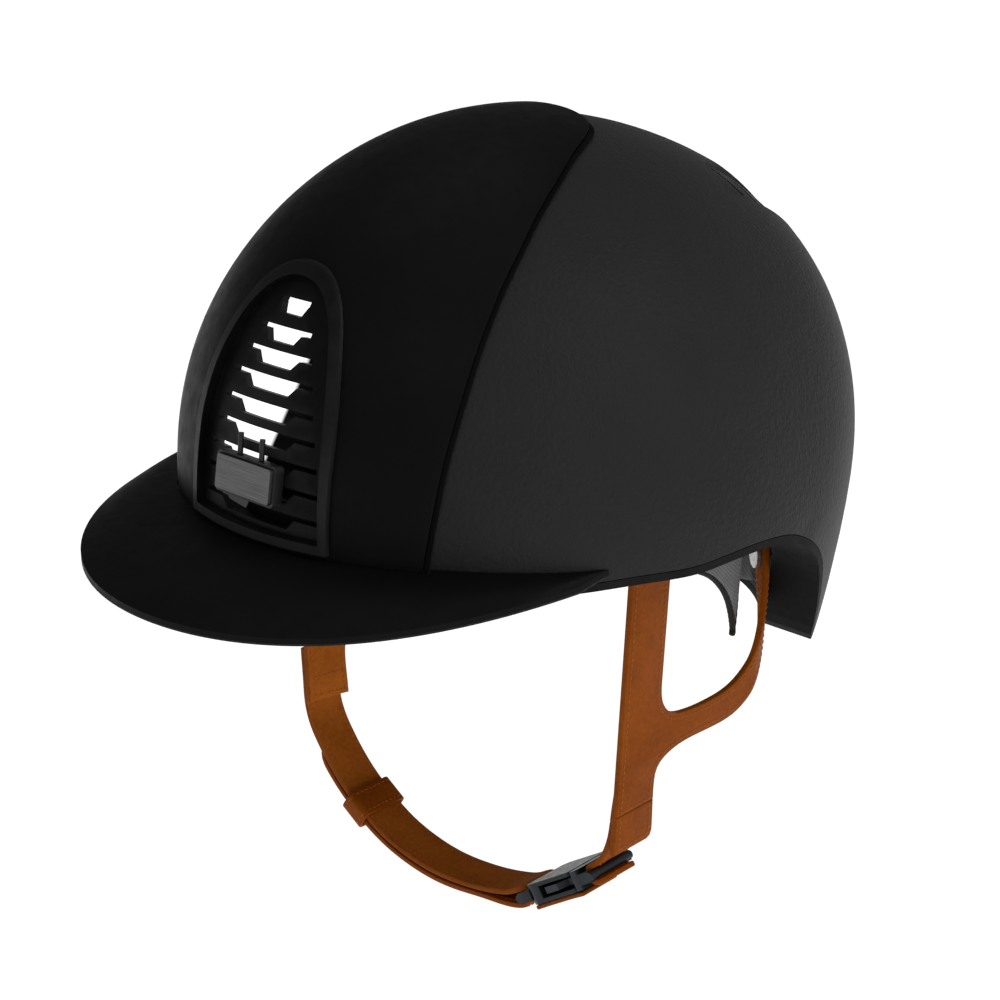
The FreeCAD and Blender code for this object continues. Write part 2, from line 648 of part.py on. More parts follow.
# Socket half of the buckle, on the chin strap
MOUTH, BACK = -8.0, 16.0
socket = softened(outlined([(MOUTH, -10.6), (BACK - 3, -11), (BACK, -9.6), (BACK, 9.6), (BACK - 3, 11),
                            (MOUTH, 10.6)], -3.8, 3.8), 1.2)
socket = socket.cut(block(MOUTH - 1, 11.0, -7.8, 7.8, -2.3, 2.3))
socket = socket.cut(block(MOUTH - 1, 9.0, -12, 12, -2.3, 2.3))
for y in (-9.6, 9.6):
    socket = socket.fuse(block(BACK - 1, SOCKET_BAR, y - 1.1, y + 1.1, -2.0, 2.0))
socket = socket.fuse(cross_bar(SOCKET_BAR, 1.6, 10.7))
save(largest(socket.removeSplitter()), "buckle_socket")

# Plug half, on the near side tab, with its middle tongue and two release arms
NECK = MOUTH - 0.4
plug = softened(block(-13.0, NECK, -10.8, 10.8, -3.6, 3.6), 1.2)
for y in (-9.7, 9.7):
    plug = plug.fuse(block(PLUG_BAR, -12.0, y - 1.1, y + 1.1, -2.0, 2.0))
plug = plug.fuse(cross_bar(PLUG_BAR, 1.5, 10.8))
plug = plug.fuse(block(NECK - 1, 9.5, -2.2, 2.2, -1.7, 1.7))
for y in (-6.3, 6.3):
    plug = plug.cut(block(NECK - 2.2, NECK + 1, y - 1.7, y + 1.7, -2.3, 2.3))
save(largest(plug.removeSplitter()), "buckle_plug")

arm = outlined([(NECK - 1.8, 5.1), (8.2, 5.1), (8.2, 7.2), (6.4, 10.6), (-0.5, 10.9), (-3.6, 7.6),
                (NECK - 1.8, 7.4)], -1.2, 1.2)
save(arm, "release_arm_rear")
front_arm = arm.mirror(V(0, LOOP_Y, 0), V(0, 1, 0))
save(front_arm, "release_arm_front")
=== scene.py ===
# %% [markdown]
# # A riding helmet
# The hard parts of this helmet were drawn as solids: the shell, the raised centre panel, the
# peak, the vent grille, the foam and the buckle. They come in as a fixed frame, and nothing
# here moves them. This lesson gives them their finishes, and then makes the soft parts that a
# solid can't show well: stitched leather, sewn padding and bound fabric.

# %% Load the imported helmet
import json
import math

import bmesh
import bpy
import numpy as np
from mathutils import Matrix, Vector

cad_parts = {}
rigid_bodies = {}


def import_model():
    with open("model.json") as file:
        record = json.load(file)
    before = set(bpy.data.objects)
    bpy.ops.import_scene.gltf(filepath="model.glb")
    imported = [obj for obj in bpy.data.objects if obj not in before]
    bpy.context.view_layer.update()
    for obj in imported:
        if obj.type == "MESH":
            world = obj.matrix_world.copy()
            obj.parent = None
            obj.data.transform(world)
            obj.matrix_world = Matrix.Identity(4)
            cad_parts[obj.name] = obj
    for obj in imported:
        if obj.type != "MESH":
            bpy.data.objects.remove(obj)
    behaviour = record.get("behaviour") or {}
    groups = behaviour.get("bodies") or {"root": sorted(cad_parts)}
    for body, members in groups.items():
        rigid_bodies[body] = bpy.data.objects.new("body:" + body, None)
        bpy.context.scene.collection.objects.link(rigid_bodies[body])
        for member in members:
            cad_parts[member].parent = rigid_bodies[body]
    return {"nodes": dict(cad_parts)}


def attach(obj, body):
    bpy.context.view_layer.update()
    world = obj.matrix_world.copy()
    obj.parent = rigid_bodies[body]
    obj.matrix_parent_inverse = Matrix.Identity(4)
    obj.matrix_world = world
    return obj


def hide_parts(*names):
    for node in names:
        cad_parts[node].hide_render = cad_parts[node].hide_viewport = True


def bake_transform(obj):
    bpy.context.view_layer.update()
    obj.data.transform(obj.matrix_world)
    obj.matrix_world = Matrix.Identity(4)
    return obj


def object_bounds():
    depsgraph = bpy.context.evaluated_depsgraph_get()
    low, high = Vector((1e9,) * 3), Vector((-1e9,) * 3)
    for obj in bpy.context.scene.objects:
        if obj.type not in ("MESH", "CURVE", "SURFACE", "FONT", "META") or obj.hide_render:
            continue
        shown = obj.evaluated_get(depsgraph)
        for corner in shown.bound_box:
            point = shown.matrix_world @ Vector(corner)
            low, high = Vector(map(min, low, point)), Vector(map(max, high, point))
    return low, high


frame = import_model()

cad_low, cad_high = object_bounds()
solids = frame["nodes"]
print("box in mm:", [round(1000 * v, 1) for v in (*cad_low, *cad_high)])

# %% [markdown]
# ## The set
# The helmet floats as if it were worn, because its chin strap hangs well below the shell. A
# wide pale floor lies just under the strap. It could be modelled with a curved back wall, but
# the camera looks down by twenty degrees, so a large flat floor fills the whole picture.

# %% Floor
MM = 0.001
FLOOR_DROP = 6 * MM
FLOOR_SIDE = 30.0


def plain_square(name, side, height):
    half = side / 2
    corners = [(-half, -half, height), (half, -half, height), (half, half, height), (-half, half, height)]
    mesh = bpy.data.meshes.new(name)
    mesh.from_pydata(corners, [], [(0, 1, 2, 3)])
    square = bpy.data.objects.new(name, mesh)
    bpy.context.scene.collection.objects.link(square)
    return square


floor = plain_square("studio_floor", FLOOR_SIDE, cad_low.z - FLOOR_DROP)
print("floor height in mm:", round(1000 * (cad_low.z - FLOOR_DROP), 1))

# %% [markdown]
# ## Camera
# A long lens from about three quarters of a metre keeps the shell's proportions natural. The
# camera stands to the front of the wearer's left side, a little above the brow.

# %% Camera
EYE = Vector((0.4833, -0.5269, 0.2650))
LOOKED_AT = Vector((-0.00612, -0.00575, -0.00229))
LENS_MM = 77.27
camera_data = bpy.data.cameras.new("studio_camera")
camera_data.lens = LENS_MM
camera_data.sensor_width = 36
camera_data.clip_start = 0.01
camera = bpy.data.objects.new("studio_camera", camera_data)
camera.location = EYE
camera.rotation_mode = "QUATERNION"
camera.rotation_quaternion = (LOOKED_AT - EYE).to_track_quat("-Z", "Y")
bpy.context.scene.collection.objects.link(camera)
bpy.context.scene.camera = camera
print("camera distance in mm:", round(1000 * (LOOKED_AT - EYE).length))

# %% [markdown]
# ## Light
# Black things are drawn by what they reflect, so each light is a broad soft panel and not a
# lamp. The sky is a dim even grey that keeps the blacks deep. One large panel stands behind
# the wearer's left shoulder and skims the side of the shell, which brings out its grain. A
# weaker one hangs over the front, one overhead, and a small low one lights the straps.

# %% Sky and soft panels
SKY_STRENGTH = 0.15
world = bpy.data.worlds.new("studio_sky")
world.use_nodes = True
world.node_tree.nodes["Background"].inputs["Color"].default_value = (1, 1, 1, 1)
world.node_tree.nodes["Background"].inputs["Strength"].default_value = SKY_STRENGTH
bpy.context.scene.world = world
bpy.context.scene.view_settings.view_transform = "Standard"


def soft_panel(name, place, aim, side, watts):
    lamp = bpy.data.lights.new(name, "AREA")
    lamp.shape = "SQUARE"
    lamp.size = side
    lamp.energy = watts
    panel = bpy.data.objects.new(name, lamp)
    panel.location = place
    panel.rotation_mode = "QUATERNION"
    panel.rotation_quaternion = (Vector(aim) - Vector(place)).to_track_quat("-Z", "Y")
    bpy.context.scene.collection.objects.link(panel)
    return panel


MIDDLE = (0, 0, 0)
soft_panel("shoulder_panel", (1.5, 0.55, 1.25), MIDDLE, 1.1, 12)
soft_panel("front_panel_light", (0.7, -1.5, 1.6), MIDDLE, 1.0, 6)
soft_panel("low_side_panel", (1.6, -0.5, -0.02), (0, 0, -0.08), 0.6, 4)
soft_panel("top_panel", (-0.3, 0.1, 1.9), MIDDLE, 1.4, 6)

# %% [markdown]
# ## How the finishes are made
# Every finish is worked out from the position of a point in the helmet, in metres, so grain
# and weave have a true size and don't stretch where a piece bends. A few short helpers join
# the shader's nodes: one reads the position, one makes a pattern of a given size in
# millimetres, one turns a pattern into two tones, and one turns it into small bumps.


# %% Helpers for finishes
def blank_finish(name, colour, roughness, specular=0.3, metallic=0.0):
    finish = bpy.data.materials.new(name)
    finish.use_nodes = True
    shader = finish.node_tree.nodes["Principled BSDF"]
    shader.inputs["Base Color"].default_value = (*colour, 1)
    shader.inputs["Roughness"].default_value = roughness
    shader.inputs["Specular IOR Level"].default_value = specular
    shader.inputs["Metallic"].default_value = metallic
    return finish, shader


def node(finish, kind, **settings):
    made = finish.node_tree.nodes.new(kind)
    for key, value in settings.items():
        setattr(made, key, value)
    return made


def join(finish, out_socket, in_socket):
    finish.node_tree.links.new(out_socket, in_socket)


def place_in(finish, stretch=(1, 1, 1), turn=(0, 0, 0)):
    coords = node(finish, "ShaderNodeTexCoord")
    mapping = node(finish, "ShaderNodeMapping")
    mapping.inputs["Scale"].default_value = stretch
    mapping.inputs["Rotation"].default_value = turn
    join(finish, coords.outputs["Object"], mapping.inputs["Vector"])
    return mapping.outputs["Vector"]


def speckle(finish, size_mm, detail=3.0, stretch=(1, 1, 1)):
    made = node(finish, "ShaderNodeTexNoise")
    made.inputs["Scale"].default_value = 1000 / size_mm
    made.inputs["Detail"].default_value = detail
    join(finish, place_in(finish, stretch), made.inputs["Vector"])
    return made.outputs["Fac"]


def cells(finish, size_mm, feature="F1", stretch=(1, 1, 1)):
    made = node(finish, "ShaderNodeTexVoronoi", feature=feature)
    made.inputs["Scale"].default_value = 1000 / size_mm
    join(finish, place_in(finish, stretch), made.inputs["Vector"])
    return made.outputs["Distance"]


def ribs(finish, size_mm, direction, wobble=0.0, turn=(0, 0, 0)):
    made = node(finish, "ShaderNodeTexWave", bands_direction=direction)
    made.inputs["Scale"].default_value = 1000 / size_mm / math.tau * 2
    made.inputs["Distortion"].default_value = wobble
    join(finish, place_in(finish, turn=turn), made.inputs["Vector"])
    return made.outputs["Fac"]


def combined(finish, first, second, how="MULTIPLY", share=0.5):
    made = node(finish, "ShaderNodeMath", operation=how)
    join(finish, first, made.inputs[0])
    if isinstance(second, (int, float)):
        made.inputs[1].default_value = second
    else:
        join(finish, second, made.inputs[1])
    if how == "MULTIPLY_ADD":
        made.inputs[2].default_value = share
    return made.outputs[0]


def two_tones(finish, shader, pattern, low, high, start=0.3, end=0.7):
    ramp = node(finish, "ShaderNodeValToRGB")
    ramp.color_ramp.elements[0].position = start
    ramp.color_ramp.elements[0].color = (*low, 1)
    ramp.color_ramp.elements[1].position = end
    ramp.color_ramp.elements[1].color = (*high, 1)
    join(finish, pattern, ramp.inputs["Fac"])
    join(finish, ramp.outputs["Color"], shader.inputs["Base Color"])
    return ramp.outputs["Color"]


def varied(finish, pattern, socket, low, high):
    made = node(finish, "ShaderNodeMapRange")
    made.inputs["From Min"].default_value = 0.3
    made.inputs["From Max"].default_value = 0.7
    made.inputs["To Min"].default_value = low
    made.inputs["To Max"].default_value = high
    join(finish, pattern, made.inputs["Value"])
    join(finish, made.outputs["Result"], socket)


def bumps(finish, shader, pattern, depth_mm, strength=0.5, under=None):
    made = node(finish, "ShaderNodeBump")
    made.inputs["Distance"].default_value = depth_mm * MM
    made.inputs["Strength"].default_value = strength
    join(finish, pattern, made.inputs["Height"])
    if under is not None:
        join(finish, under, made.inputs["Normal"])
    join(finish, made.outputs["Normal"], shader.inputs["Normal"])
    return made.outputs["Normal"]


def worn_edges(finish, shader, colour, bright, start=0.53, end=0.62):
    # the sharp edges of a moulding are rubbed a little paler
    shape = node(finish, "ShaderNodeNewGeometry")
    ramp = node(finish, "ShaderNodeMapRange")
    ramp.inputs["From Min"].default_value = start
    ramp.inputs["From Max"].default_value = end
    join(finish, shape.outputs["Pointiness"], ramp.inputs["Value"])
    mix = node(finish, "ShaderNodeMix", data_type="RGBA")
    join(finish, ramp.outputs["Result"], mix.inputs[0])
    join(finish, colour, mix.inputs[6])
    mix.inputs[7].default_value = (*bright, 1)
    join(finish, mix.outputs[2], shader.inputs["Base Color"])


print("finish helpers ready")

# %% [markdown]
# ## Floor finish
# The floor is grey card that gives off a white light of its own, as a lit studio table does,
# so that it comes out white and the helmet throws no hard shadow.

# %% Floor finish
card, card_shader = blank_finish("studio_card", (0.25, 0.25, 0.25), 0.9, 0.05)
two_tones(card, card_shader, speckle(card, 40), (0.24, 0.24, 0.24), (0.27, 0.27, 0.27))
card_shader.inputs["Emission Color"].default_value = (1, 1, 1, 1)
card_shader.inputs["Emission Strength"].default_value = 0.98
floor.data.materials.append(card)
print("floor finish:", card.name)

# %% [markdown]
# ## Shell finish
# The side shell has a soft leather-grain coating. Small cells make the pebbles, a finer
# speckle breaks them up, and a slow change of tone stands for handling. The sheen is set on
# the shader, so light that skims the side lifts it to a dark grey, as a fine nap would.

# %% Coated shell
coated, shader = blank_finish("grained_coating", (0.014, 0.014, 0.0142), 0.56, 0.16)
pebble = cells(coated, 0.9, "SMOOTH_F1", (1, 1, 0.7))
fine = speckle(coated, 0.35, 4)
slow = speckle(coated, 28, 2)
two_tones(coated, shader, slow, (0.0126, 0.0126, 0.0128), (0.015, 0.015, 0.0152))
varied(coated, fine, shader.inputs["Roughness"], 0.5, 0.64)
first = bumps(coated, shader, pebble, 0.2, 0.8)
bumps(coated, shader, speckle(coated, 2.2, 5), 0.4, 0.7, first)
shader.inputs["Sheen Weight"].default_value = 0.04
shader.inputs["Sheen Roughness"].default_value = 0.45

# %% [markdown]
# ## Panel and peak finish
# The centre panel and the peak are smoother and darker than the sides. They are painted with
# a soft matte lacquer, so the pattern is only a very fine orange peel with faint rub marks.

# %% Matte lacquer
lacquer, shader = blank_finish("matte_lacquer", (0.0042, 0.0042, 0.0043), 0.5, 0.06)
two_tones(lacquer, shader, speckle(lacquer, 34, 2), (0.0036, 0.0036, 0.0037), (0.005, 0.005, 0.0052))
varied(lacquer, speckle(lacquer, 5, 4), shader.inputs["Roughness"], 0.44, 0.56)
peel = bumps(lacquer, shader, speckle(lacquer, 0.6, 3), 0.02, 0.35)
bumps(lacquer, shader, speckle(lacquer, 1.8, 2), 0.03, 0.2, peel)
peak_lacquer = lacquer.copy()
peak_lacquer.name = "matte_lacquer_peak"
print("lacquers:", lacquer.name, peak_lacquer.name)

# %% [markdown]
# ## Mouldings
# The vent frame, louvres, rear trays, badge holder and edge trim are moulded plastic or
# rubber with a spark-eroded texture. One recipe makes them all, with a different tone, gloss
# and grain size for each. The sharp edges come out slightly paler, as rubbed edges do.


# %% Moulded finishes
def moulded(name, tone, roughness, specular, grain_mm, depth_mm, rub):
    finish, shader = blank_finish(name, (tone, tone, tone), roughness, specular)
    pattern = speckle(finish, grain_mm, 4)
    tones = two_tones(finish, shader, speckle(finish, 9, 3), (tone * 0.85,) * 3, (tone * 1.2,) * 3)
    worn_edges(finish, shader, tones, (rub, rub, rub))
    varied(finish, speckle(finish, 3, 3), shader.inputs["Roughness"], roughness - 0.06, roughness + 0.07)
    bumps(finish, shader, pattern, depth_mm, 0.45)
    return finish


bezel_plastic = moulded("vent_bezel_plastic", 0.0055, 0.42, 0.14, 0.5, 0.03, 0.016)
louvre_plastic = moulded("louvre_plastic", 0.005, 0.5, 0.08, 0.5, 0.03, 0.016)
holder_plastic = moulded("badge_holder_plastic", 0.012, 0.4, 0.3, 0.5, 0.02, 0.03)
tray_plastic = moulded("rear_tray_plastic", 0.008, 0.5, 0.25, 0.6, 0.04, 0.02)
trim_rubber = moulded("edge_trim_rubber", 0.0025, 0.62, 0.04, 0.45, 0.04, 0.012)
seam_rubber = moulded("seam_rubber", 0.0015, 0.7, 0.04, 0.4, 0.04, 0.005)
print("mouldings:", [m.name for m in bpy.data.materials if "plastic" in m.name or "rubber" in m.name])

# %% [markdown]
# ## Badge plate
# The plate is thin aluminium, brushed sideways. A speckle that is stretched along the plate
# makes the brushing, and the same pattern varies the gloss. It carries no lettering.

# %% Brushed plate
brushed, shader = blank_finish("brushed_plate", (0.2, 0.2, 0.2), 0.42, 0.5, 0.85)
strokes = speckle(brushed, 0.35, 5, (0.03, 1, 1))
two_tones(brushed, shader, strokes, (0.08, 0.08, 0.082), (0.19, 0.19, 0.192))
varied(brushed, strokes, shader.inputs["Roughness"], 0.34, 0.52)
bumps(brushed, shader, strokes, 0.02, 0.4)
print("plate finish:", brushed.name)

# %% [markdown]
# ## Foam
# The impact liner is moulded from beads about three millimetres across, and their outlines
# stay visible. Inside the vent the foam gives off painted light, a light of its own that makes
# it look as white as paper. Two slanted planes bound a painted shade on the far side and at the
# foot of the vent, where the foam is nearly black and gives off no light, and the rim behind the ears is painted
# black.

# %% Bead foam
# the two planes that bound the painted shade inside the vent
SHADE_SIDES = {"side": ((0.6908, 0.5955, -0.41), -0.08858), "foot": ((0.0208, -0.462, -0.8866), 0.01851)}
foam, shader = blank_finish("bead_foam", (0.9, 0.9, 0.9), 0.75, 0.3)
beads = cells(foam, 3.2, "F1")
foam_tones = two_tones(foam, shader, beads, (0.93, 0.93, 0.93), (0.8, 0.8, 0.8), 0.35, 0.75)
soft_beads = bumps(foam, shader, combined(foam, beads, -1.0), 0.35, 0.5)
bumps(foam, shader, speckle(foam, 0.4, 2), 0.03, 0.3, soft_beads)
where = node(foam, "ShaderNodeSeparateXYZ")
join(foam, place_in(foam), where.inputs["Vector"])
in_front = node(foam, "ShaderNodeMapRange")
in_front.inputs["From Min"].default_value = -0.062
in_front.inputs["From Max"].default_value = -0.082
join(foam, where.outputs["Y"], in_front.inputs["Value"])
shades = {}
for name, (way, start) in SHADE_SIDES.items():
    across = node(foam, "ShaderNodeVectorMath", operation="DOT_PRODUCT")
    across.inputs[1].default_value = way
    join(foam, place_in(foam), across.inputs[0])
    shade = node(foam, "ShaderNodeMapRange")
    shade.inputs["From Min"].default_value = start - 0.0006
    shade.inputs["From Max"].default_value = start + 0.0006
    join(foam, across.outputs["Value"], shade.inputs["Value"])
    shades[name] = shade.outputs["Result"]
behind = node(foam, "ShaderNodeMapRange")
behind.inputs["From Min"].default_value = 0.03
behind.inputs["From Max"].default_value = 0.034
join(foam, where.outputs["Y"], behind.inputs["Value"])
# painted shade: inside the vent, the foam beyond these planes is made nearly black and gives off no light
vent_shade = combined(foam, shades["side"], combined(foam, shades["foot"], 0.96), "MAXIMUM")
painted_shade_mask = combined(foam, in_front.outputs["Result"], vent_shade)
painted = combined(foam, painted_shade_mask, behind.outputs["Result"], "MAXIMUM")
toned = node(foam, "ShaderNodeMix", data_type="RGBA")
join(foam, painted, toned.inputs[0])
join(foam, foam_tones, toned.inputs[6])
# the nearly black colour of the painted shade in the vent, also used for the black rim behind the ears
toned.inputs[7].default_value = (0.012, 0.012, 0.012, 1)
join(foam, toned.outputs[2], shader.inputs["Base Color"])
# painted light: the lit part of the vent gives off light of its own, so the foam there looks white
painted_glow = combined(foam, in_front.outputs["Result"], painted_shade_mask, "SUBTRACT")
join(foam, combined(foam, painted_glow, 1.15), shader.inputs["Emission Strength"])
shader.inputs["Emission Color"].default_value = (1, 1, 1, 1)
print("foam bead size: 3.2 mm")

# %% [markdown]
# ## Fabrics
# The padding is a soft dark knit, the ear flaps are a paler brushed cloth, and the edges are
# bound with a narrow ribbed tape. Two sets of fine ribs that cross make each weave. They run
# at a slant through the helmet, so they show on faces that point any way.


# %% Woven finishes
def woven(name, low, high, thread_mm, depth_mm, sheen, roughness=0.9):
    finish, shader = blank_finish(name, high, roughness, 0.12)
    across = ribs(finish, thread_mm, "DIAGONAL", 0.6)
    along = ribs(finish, thread_mm * 1.15, "DIAGONAL", 0.6, (0, 0, 1.5708))
    weave = combined(finish, across, along, "ADD")
    weave = combined(finish, weave, 0.5, "MULTIPLY")
    shade = combined(finish, weave, speckle(finish, 6, 5), "ADD")
    shade = combined(finish, shade, 0.5, "MULTIPLY")
    two_tones(finish, shader, shade, low, high, 0.25, 0.75)
    nap = bumps(finish, shader, weave, depth_mm, 0.7)
    bumps(finish, shader, speckle(finish, 0.5, 4), depth_mm * 0.6, 0.4, nap)
    shader.inputs["Sheen Weight"].default_value = sheen
    shader.inputs["Sheen Roughness"].default_value = 0.6
    return finish


pad_knit = woven("pad_knit", (0.018, 0.018, 0.019), (0.05, 0.05, 0.052), 1.3, 0.25, 0.15)
flap_cloth = woven("brushed_flap_cloth", (0.11, 0.11, 0.112), (0.2, 0.2, 0.203), 0.8, 0.15, 0.1)
edge_tape = woven("ribbed_edge_tape", (0.008, 0.007, 0.007), (0.022, 0.018, 0.018), 0.9, 0.2, 0.06)
peak_cloth = woven("peak_lining_knit", (0.008, 0.008, 0.008), (0.02, 0.02, 0.02), 1.1, 0.2, 0.08)
print("fabrics:", pad_knit.name, flap_cloth.name, edge_tape.name, peak_cloth.name)

# %% [markdown]
# ## Leather
# The harness is tan bridle leather. Its finished side has fine pores and a slow change of
# tone, its flesh side is napped and is painted paler than the finished side, as painted light
# for the inner faces of the straps that lie in shade, and its thread is a paler orange. Two
# finishes are put on each strap, and faces are told which one to use when the strap is cut.


# %% Leather and thread
def leather(name, low, high, roughness, specular, pore_mm, depth_mm):
    finish, shader = blank_finish(name, high, roughness, specular)
    mottle = combined(finish, speckle(finish, 12, 4), speckle(finish, 1.6, 4), "ADD")
    mottle = combined(finish, mottle, 0.5, "MULTIPLY")
    two_tones(finish, shader, mottle, low, high, 0.35, 0.65)
    varied(finish, speckle(finish, 3, 3), shader.inputs["Roughness"], roughness - 0.08, roughness + 0.08)
    pores = bumps(finish, shader, cells(finish, pore_mm, "SMOOTH_F1"), depth_mm, 0.5)
    bumps(finish, shader, speckle(finish, 4, 5), depth_mm * 2.0, 0.25, pores)
    return finish


tan_grain = leather("tan_leather", (0.19, 0.042, 0.0015), (0.27, 0.064, 0.0025), 0.5, 0.05, 0.55, 0.08)
# painted light: the flesh side is made paler than the grain side, to lift the inner faces of the straps that lie in
# shade
tan_flesh_painted_light = leather("tan_leather_flesh_side_painted_light", (0.3, 0.078, 0.008), (0.42, 0.116, 0.013), 0.8, 0.03, 0.8, 0.12)
thread, shader = blank_finish("orange_thread", (0.36, 0.11, 0.02), 0.6, 0.15)
two_tones(thread, shader, speckle(thread, 0.4, 2), (0.28, 0.08, 0.014), (0.42, 0.13, 0.028))
bumps(thread, shader, ribs(thread, 0.35, "DIAGONAL"), 0.06, 0.6)
print("leathers:", tan_grain.name, tan_flesh_painted_light.name)

# %% [markdown]
# ## Metal and buckle
# The rivets are zinc plated steel with a crystalline bloom. The buckle is a satin dark blue
# black moulding that has been handled, so its sheen is uneven and it has fine scratches.

# %% Rivets and buckle
zinc, shader = blank_finish("zinc_plate", (0.4, 0.4, 0.41), 0.35, 0.5, 1.0)
bloom = cells(zinc, 1.8)
two_tones(zinc, shader, bloom, (0.32, 0.32, 0.33), (0.48, 0.48, 0.49), 0.1, 0.8)
varied(zinc, speckle(zinc, 1.2), shader.inputs["Roughness"], 0.28, 0.45)
bumps(zinc, shader, speckle(zinc, 0.4), 0.02, 0.3)

gloss, shader = blank_finish("buckle_gloss", (0.008, 0.0105, 0.0125), 0.38, 0.14)
tones = two_tones(gloss, shader, speckle(gloss, 6, 3), (0.0065, 0.009, 0.011), (0.0105, 0.0135, 0.016))
worn_edges(gloss, shader, tones, (0.03, 0.036, 0.042))
varied(gloss, speckle(gloss, 2.2, 4), shader.inputs["Roughness"], 0.3, 0.46)
scratch = speckle(gloss, 0.5, 3, (0.08, 1, 1))
bumps(gloss, shader, scratch, 0.012, 0.3)
print("hard finishes:", zinc.name, gloss.name)

# %% [markdown]
# ## Dress the hard solids
# These solids have the right shape already, so they keep their meshes and change their
# finish. The front panel also gets a weld and a soft bevel along its sharp edges.

# %% Give each hard solid its finish
FINISHES = {
    "main_shell": coated, "front_panel": lacquer, "visor": peak_lacquer, "visor_lining": peak_cloth,
    "seam_gasket": seam_rubber, "rim_trim": trim_rubber, "grille_frame": bezel_plastic,
    "louvre_panel": louvre_plastic, "badge_holder": holder_plastic, "badge_plate": brushed,
    "left_rear_vent": tray_plastic, "right_rear_vent": tray_plastic, "eps_liner": foam,
    "strap_anchors": zinc, "buckle_socket": gloss, "buckle_plug": gloss,
    "release_arm_front": gloss, "release_arm_rear": gloss,
}
for name, finish in FINISHES.items():
    mesh = solids[name].data
    mesh.materials.clear()
    mesh.materials.append(finish)
weld = solids["front_panel"].modifiers.new("joined_faces", "WELD")
weld.merge_threshold = 0.01 * MM
soft_edge = solids["front_panel"].modifiers.new("soft_edge", "BEVEL")
soft_edge.width = 0.9 * MM
soft_edge.segments = 3
soft_edge.limit_method = "ANGLE"
soft_edge.angle_limit = math.radians(50)
print("dressed:", len(FINISHES))

# %% [markdown]
# ## Cut leather flat, then bend it
# A saddler cuts a strap flat, rounds its edges, stitches it, and only then bends it. The same
# order works here. A flat outline becomes a thin plate with softened rims, and every point of
# it is then carried onto a curved surface. Stitches are made on the flat plate too, so they
# follow every bend. A curve that passes through a few guide points gives the outlines.


# %% Smooth lines through guide points
def line_through(points, step):
    # a smooth curve through the points, sampled evenly at about the given step
    points = np.array(points, float)
    gaps = np.linalg.norm(np.diff(points, axis=0), axis=1)
    knots = np.concatenate([[0], np.cumsum(gaps)])
    count = len(points)
    rows = np.zeros((count, count))
    right = np.zeros((count, points.shape[1]))
    rows[0, 0] = rows[-1, -1] = 1
    for i in range(1, count - 1):
        before, after = gaps[i - 1], gaps[i]
        rows[i, i - 1:i + 2] = before, 2 * (before + after), after
        right[i] = 6 * ((points[i + 1] - points[i]) / after - (points[i] - points[i - 1]) / before)
    bend = np.linalg.solve(rows, right)
    fine = np.linspace(0, knots[-1], max(60, 12 * count))
    place = np.clip(np.searchsorted(knots, fine) - 1, 0, count - 2)
    width = gaps[place][:, None]
    t = ((fine - knots[place])[:, None]) / width
    near, far = points[place], points[place + 1]
    line = near * (1 - t) + far * t
    line += width ** 2 / 6 * (((1 - t) ** 3 - (1 - t)) * bend[place] + (t ** 3 - t) * bend[place + 1])
    return evenly(line, step)


def evenly(line, step):
    line = np.array(line, float)
    run = np.concatenate([[0], np.cumsum(np.linalg.norm(np.diff(line, axis=0), axis=1))])
    count = max(2, int(round(run[-1] / step)) + 1)
    wanted = np.linspace(0, run[-1], count)
    return np.stack([np.interp(wanted, run, line[:, k]) for k in range(line.shape[1])], axis=1)


print("line check:", len(line_through([(0, 0), (1, 1), (2, 0)], 0.1)), "points")


# %% Flat plate with soft rims
def flat_plate(outline, thickness, cut_u=(), cut_v=(), rim=0.45 * MM):
    # the outline is (u, v); the plate lies with its finished side at height 0
    plate = bmesh.new()
    plate.faces.new([plate.verts.new((u, v, 0)) for u, v in outline])
    for axis, cuts in ((0, cut_u), (1, cut_v)):
        for cut in cuts:
            spot, way = [0, 0, 0], [0, 0, 0]
            spot[axis], way[axis] = cut, 1
            everything = plate.verts[:] + plate.edges[:] + plate.faces[:]
            bmesh.ops.bisect_plane(plate, geom=everything, dist=1e-6, plane_co=spot, plane_no=way)
    plate.normal_update()
    if sum(face.normal.z for face in plate.faces) < 0:
        bmesh.ops.reverse_faces(plate, faces=plate.faces[:])
    below = bmesh.ops.extrude_face_region(plate, geom=plate.faces[:], use_keep_orig=True)
    lowered = [g for g in below["geom"] if isinstance(g, bmesh.types.BMVert)]
    bmesh.ops.translate(plate, verts=lowered, vec=(0, 0, -thickness))
    bmesh.ops.recalc_face_normals(plate, faces=plate.faces[:])
    plate.normal_update()
    rims = [e for e in plate.edges if len(e.link_faces) == 2 and e.calc_face_angle(0) > 1.2
            and abs(e.verts[0].co.z - e.verts[1].co.z) < 1e-7]
    bmesh.ops.bevel(plate, geom=rims, offset=rim, segments=3, profile=0.5, affect="EDGES")
    return plate


def carried(plate, name, surface, finishes):
    # bend the flat plate onto a surface, and give its underside the second finish
    plate.normal_update()
    for face in plate.faces:
        face.material_index = 1 if len(finishes) > 1 and face.normal.z < -0.6 else 0
        face.smooth = True
    for vert in plate.verts:
        vert.co = surface(*vert.co)
    bmesh.ops.recalc_face_normals(plate, faces=plate.faces[:])
    mesh = bpy.data.meshes.new(name)
    plate.to_mesh(mesh)
    plate.free()
    for finish in finishes:
        mesh.materials.append(finish)
    mesh.set_sharp_from_angle(angle=math.radians(50))
    piece = bpy.data.objects.new(name, mesh)
    bpy.context.scene.collection.objects.link(piece)
    return piece


test_plate = flat_plate([(0, 0), (0.02, 0), (0.02, 0.01), (0, 0.01)], 2 * MM, [0.01])
print("test plate faces:", len(test_plate.faces))
test_plate.free()

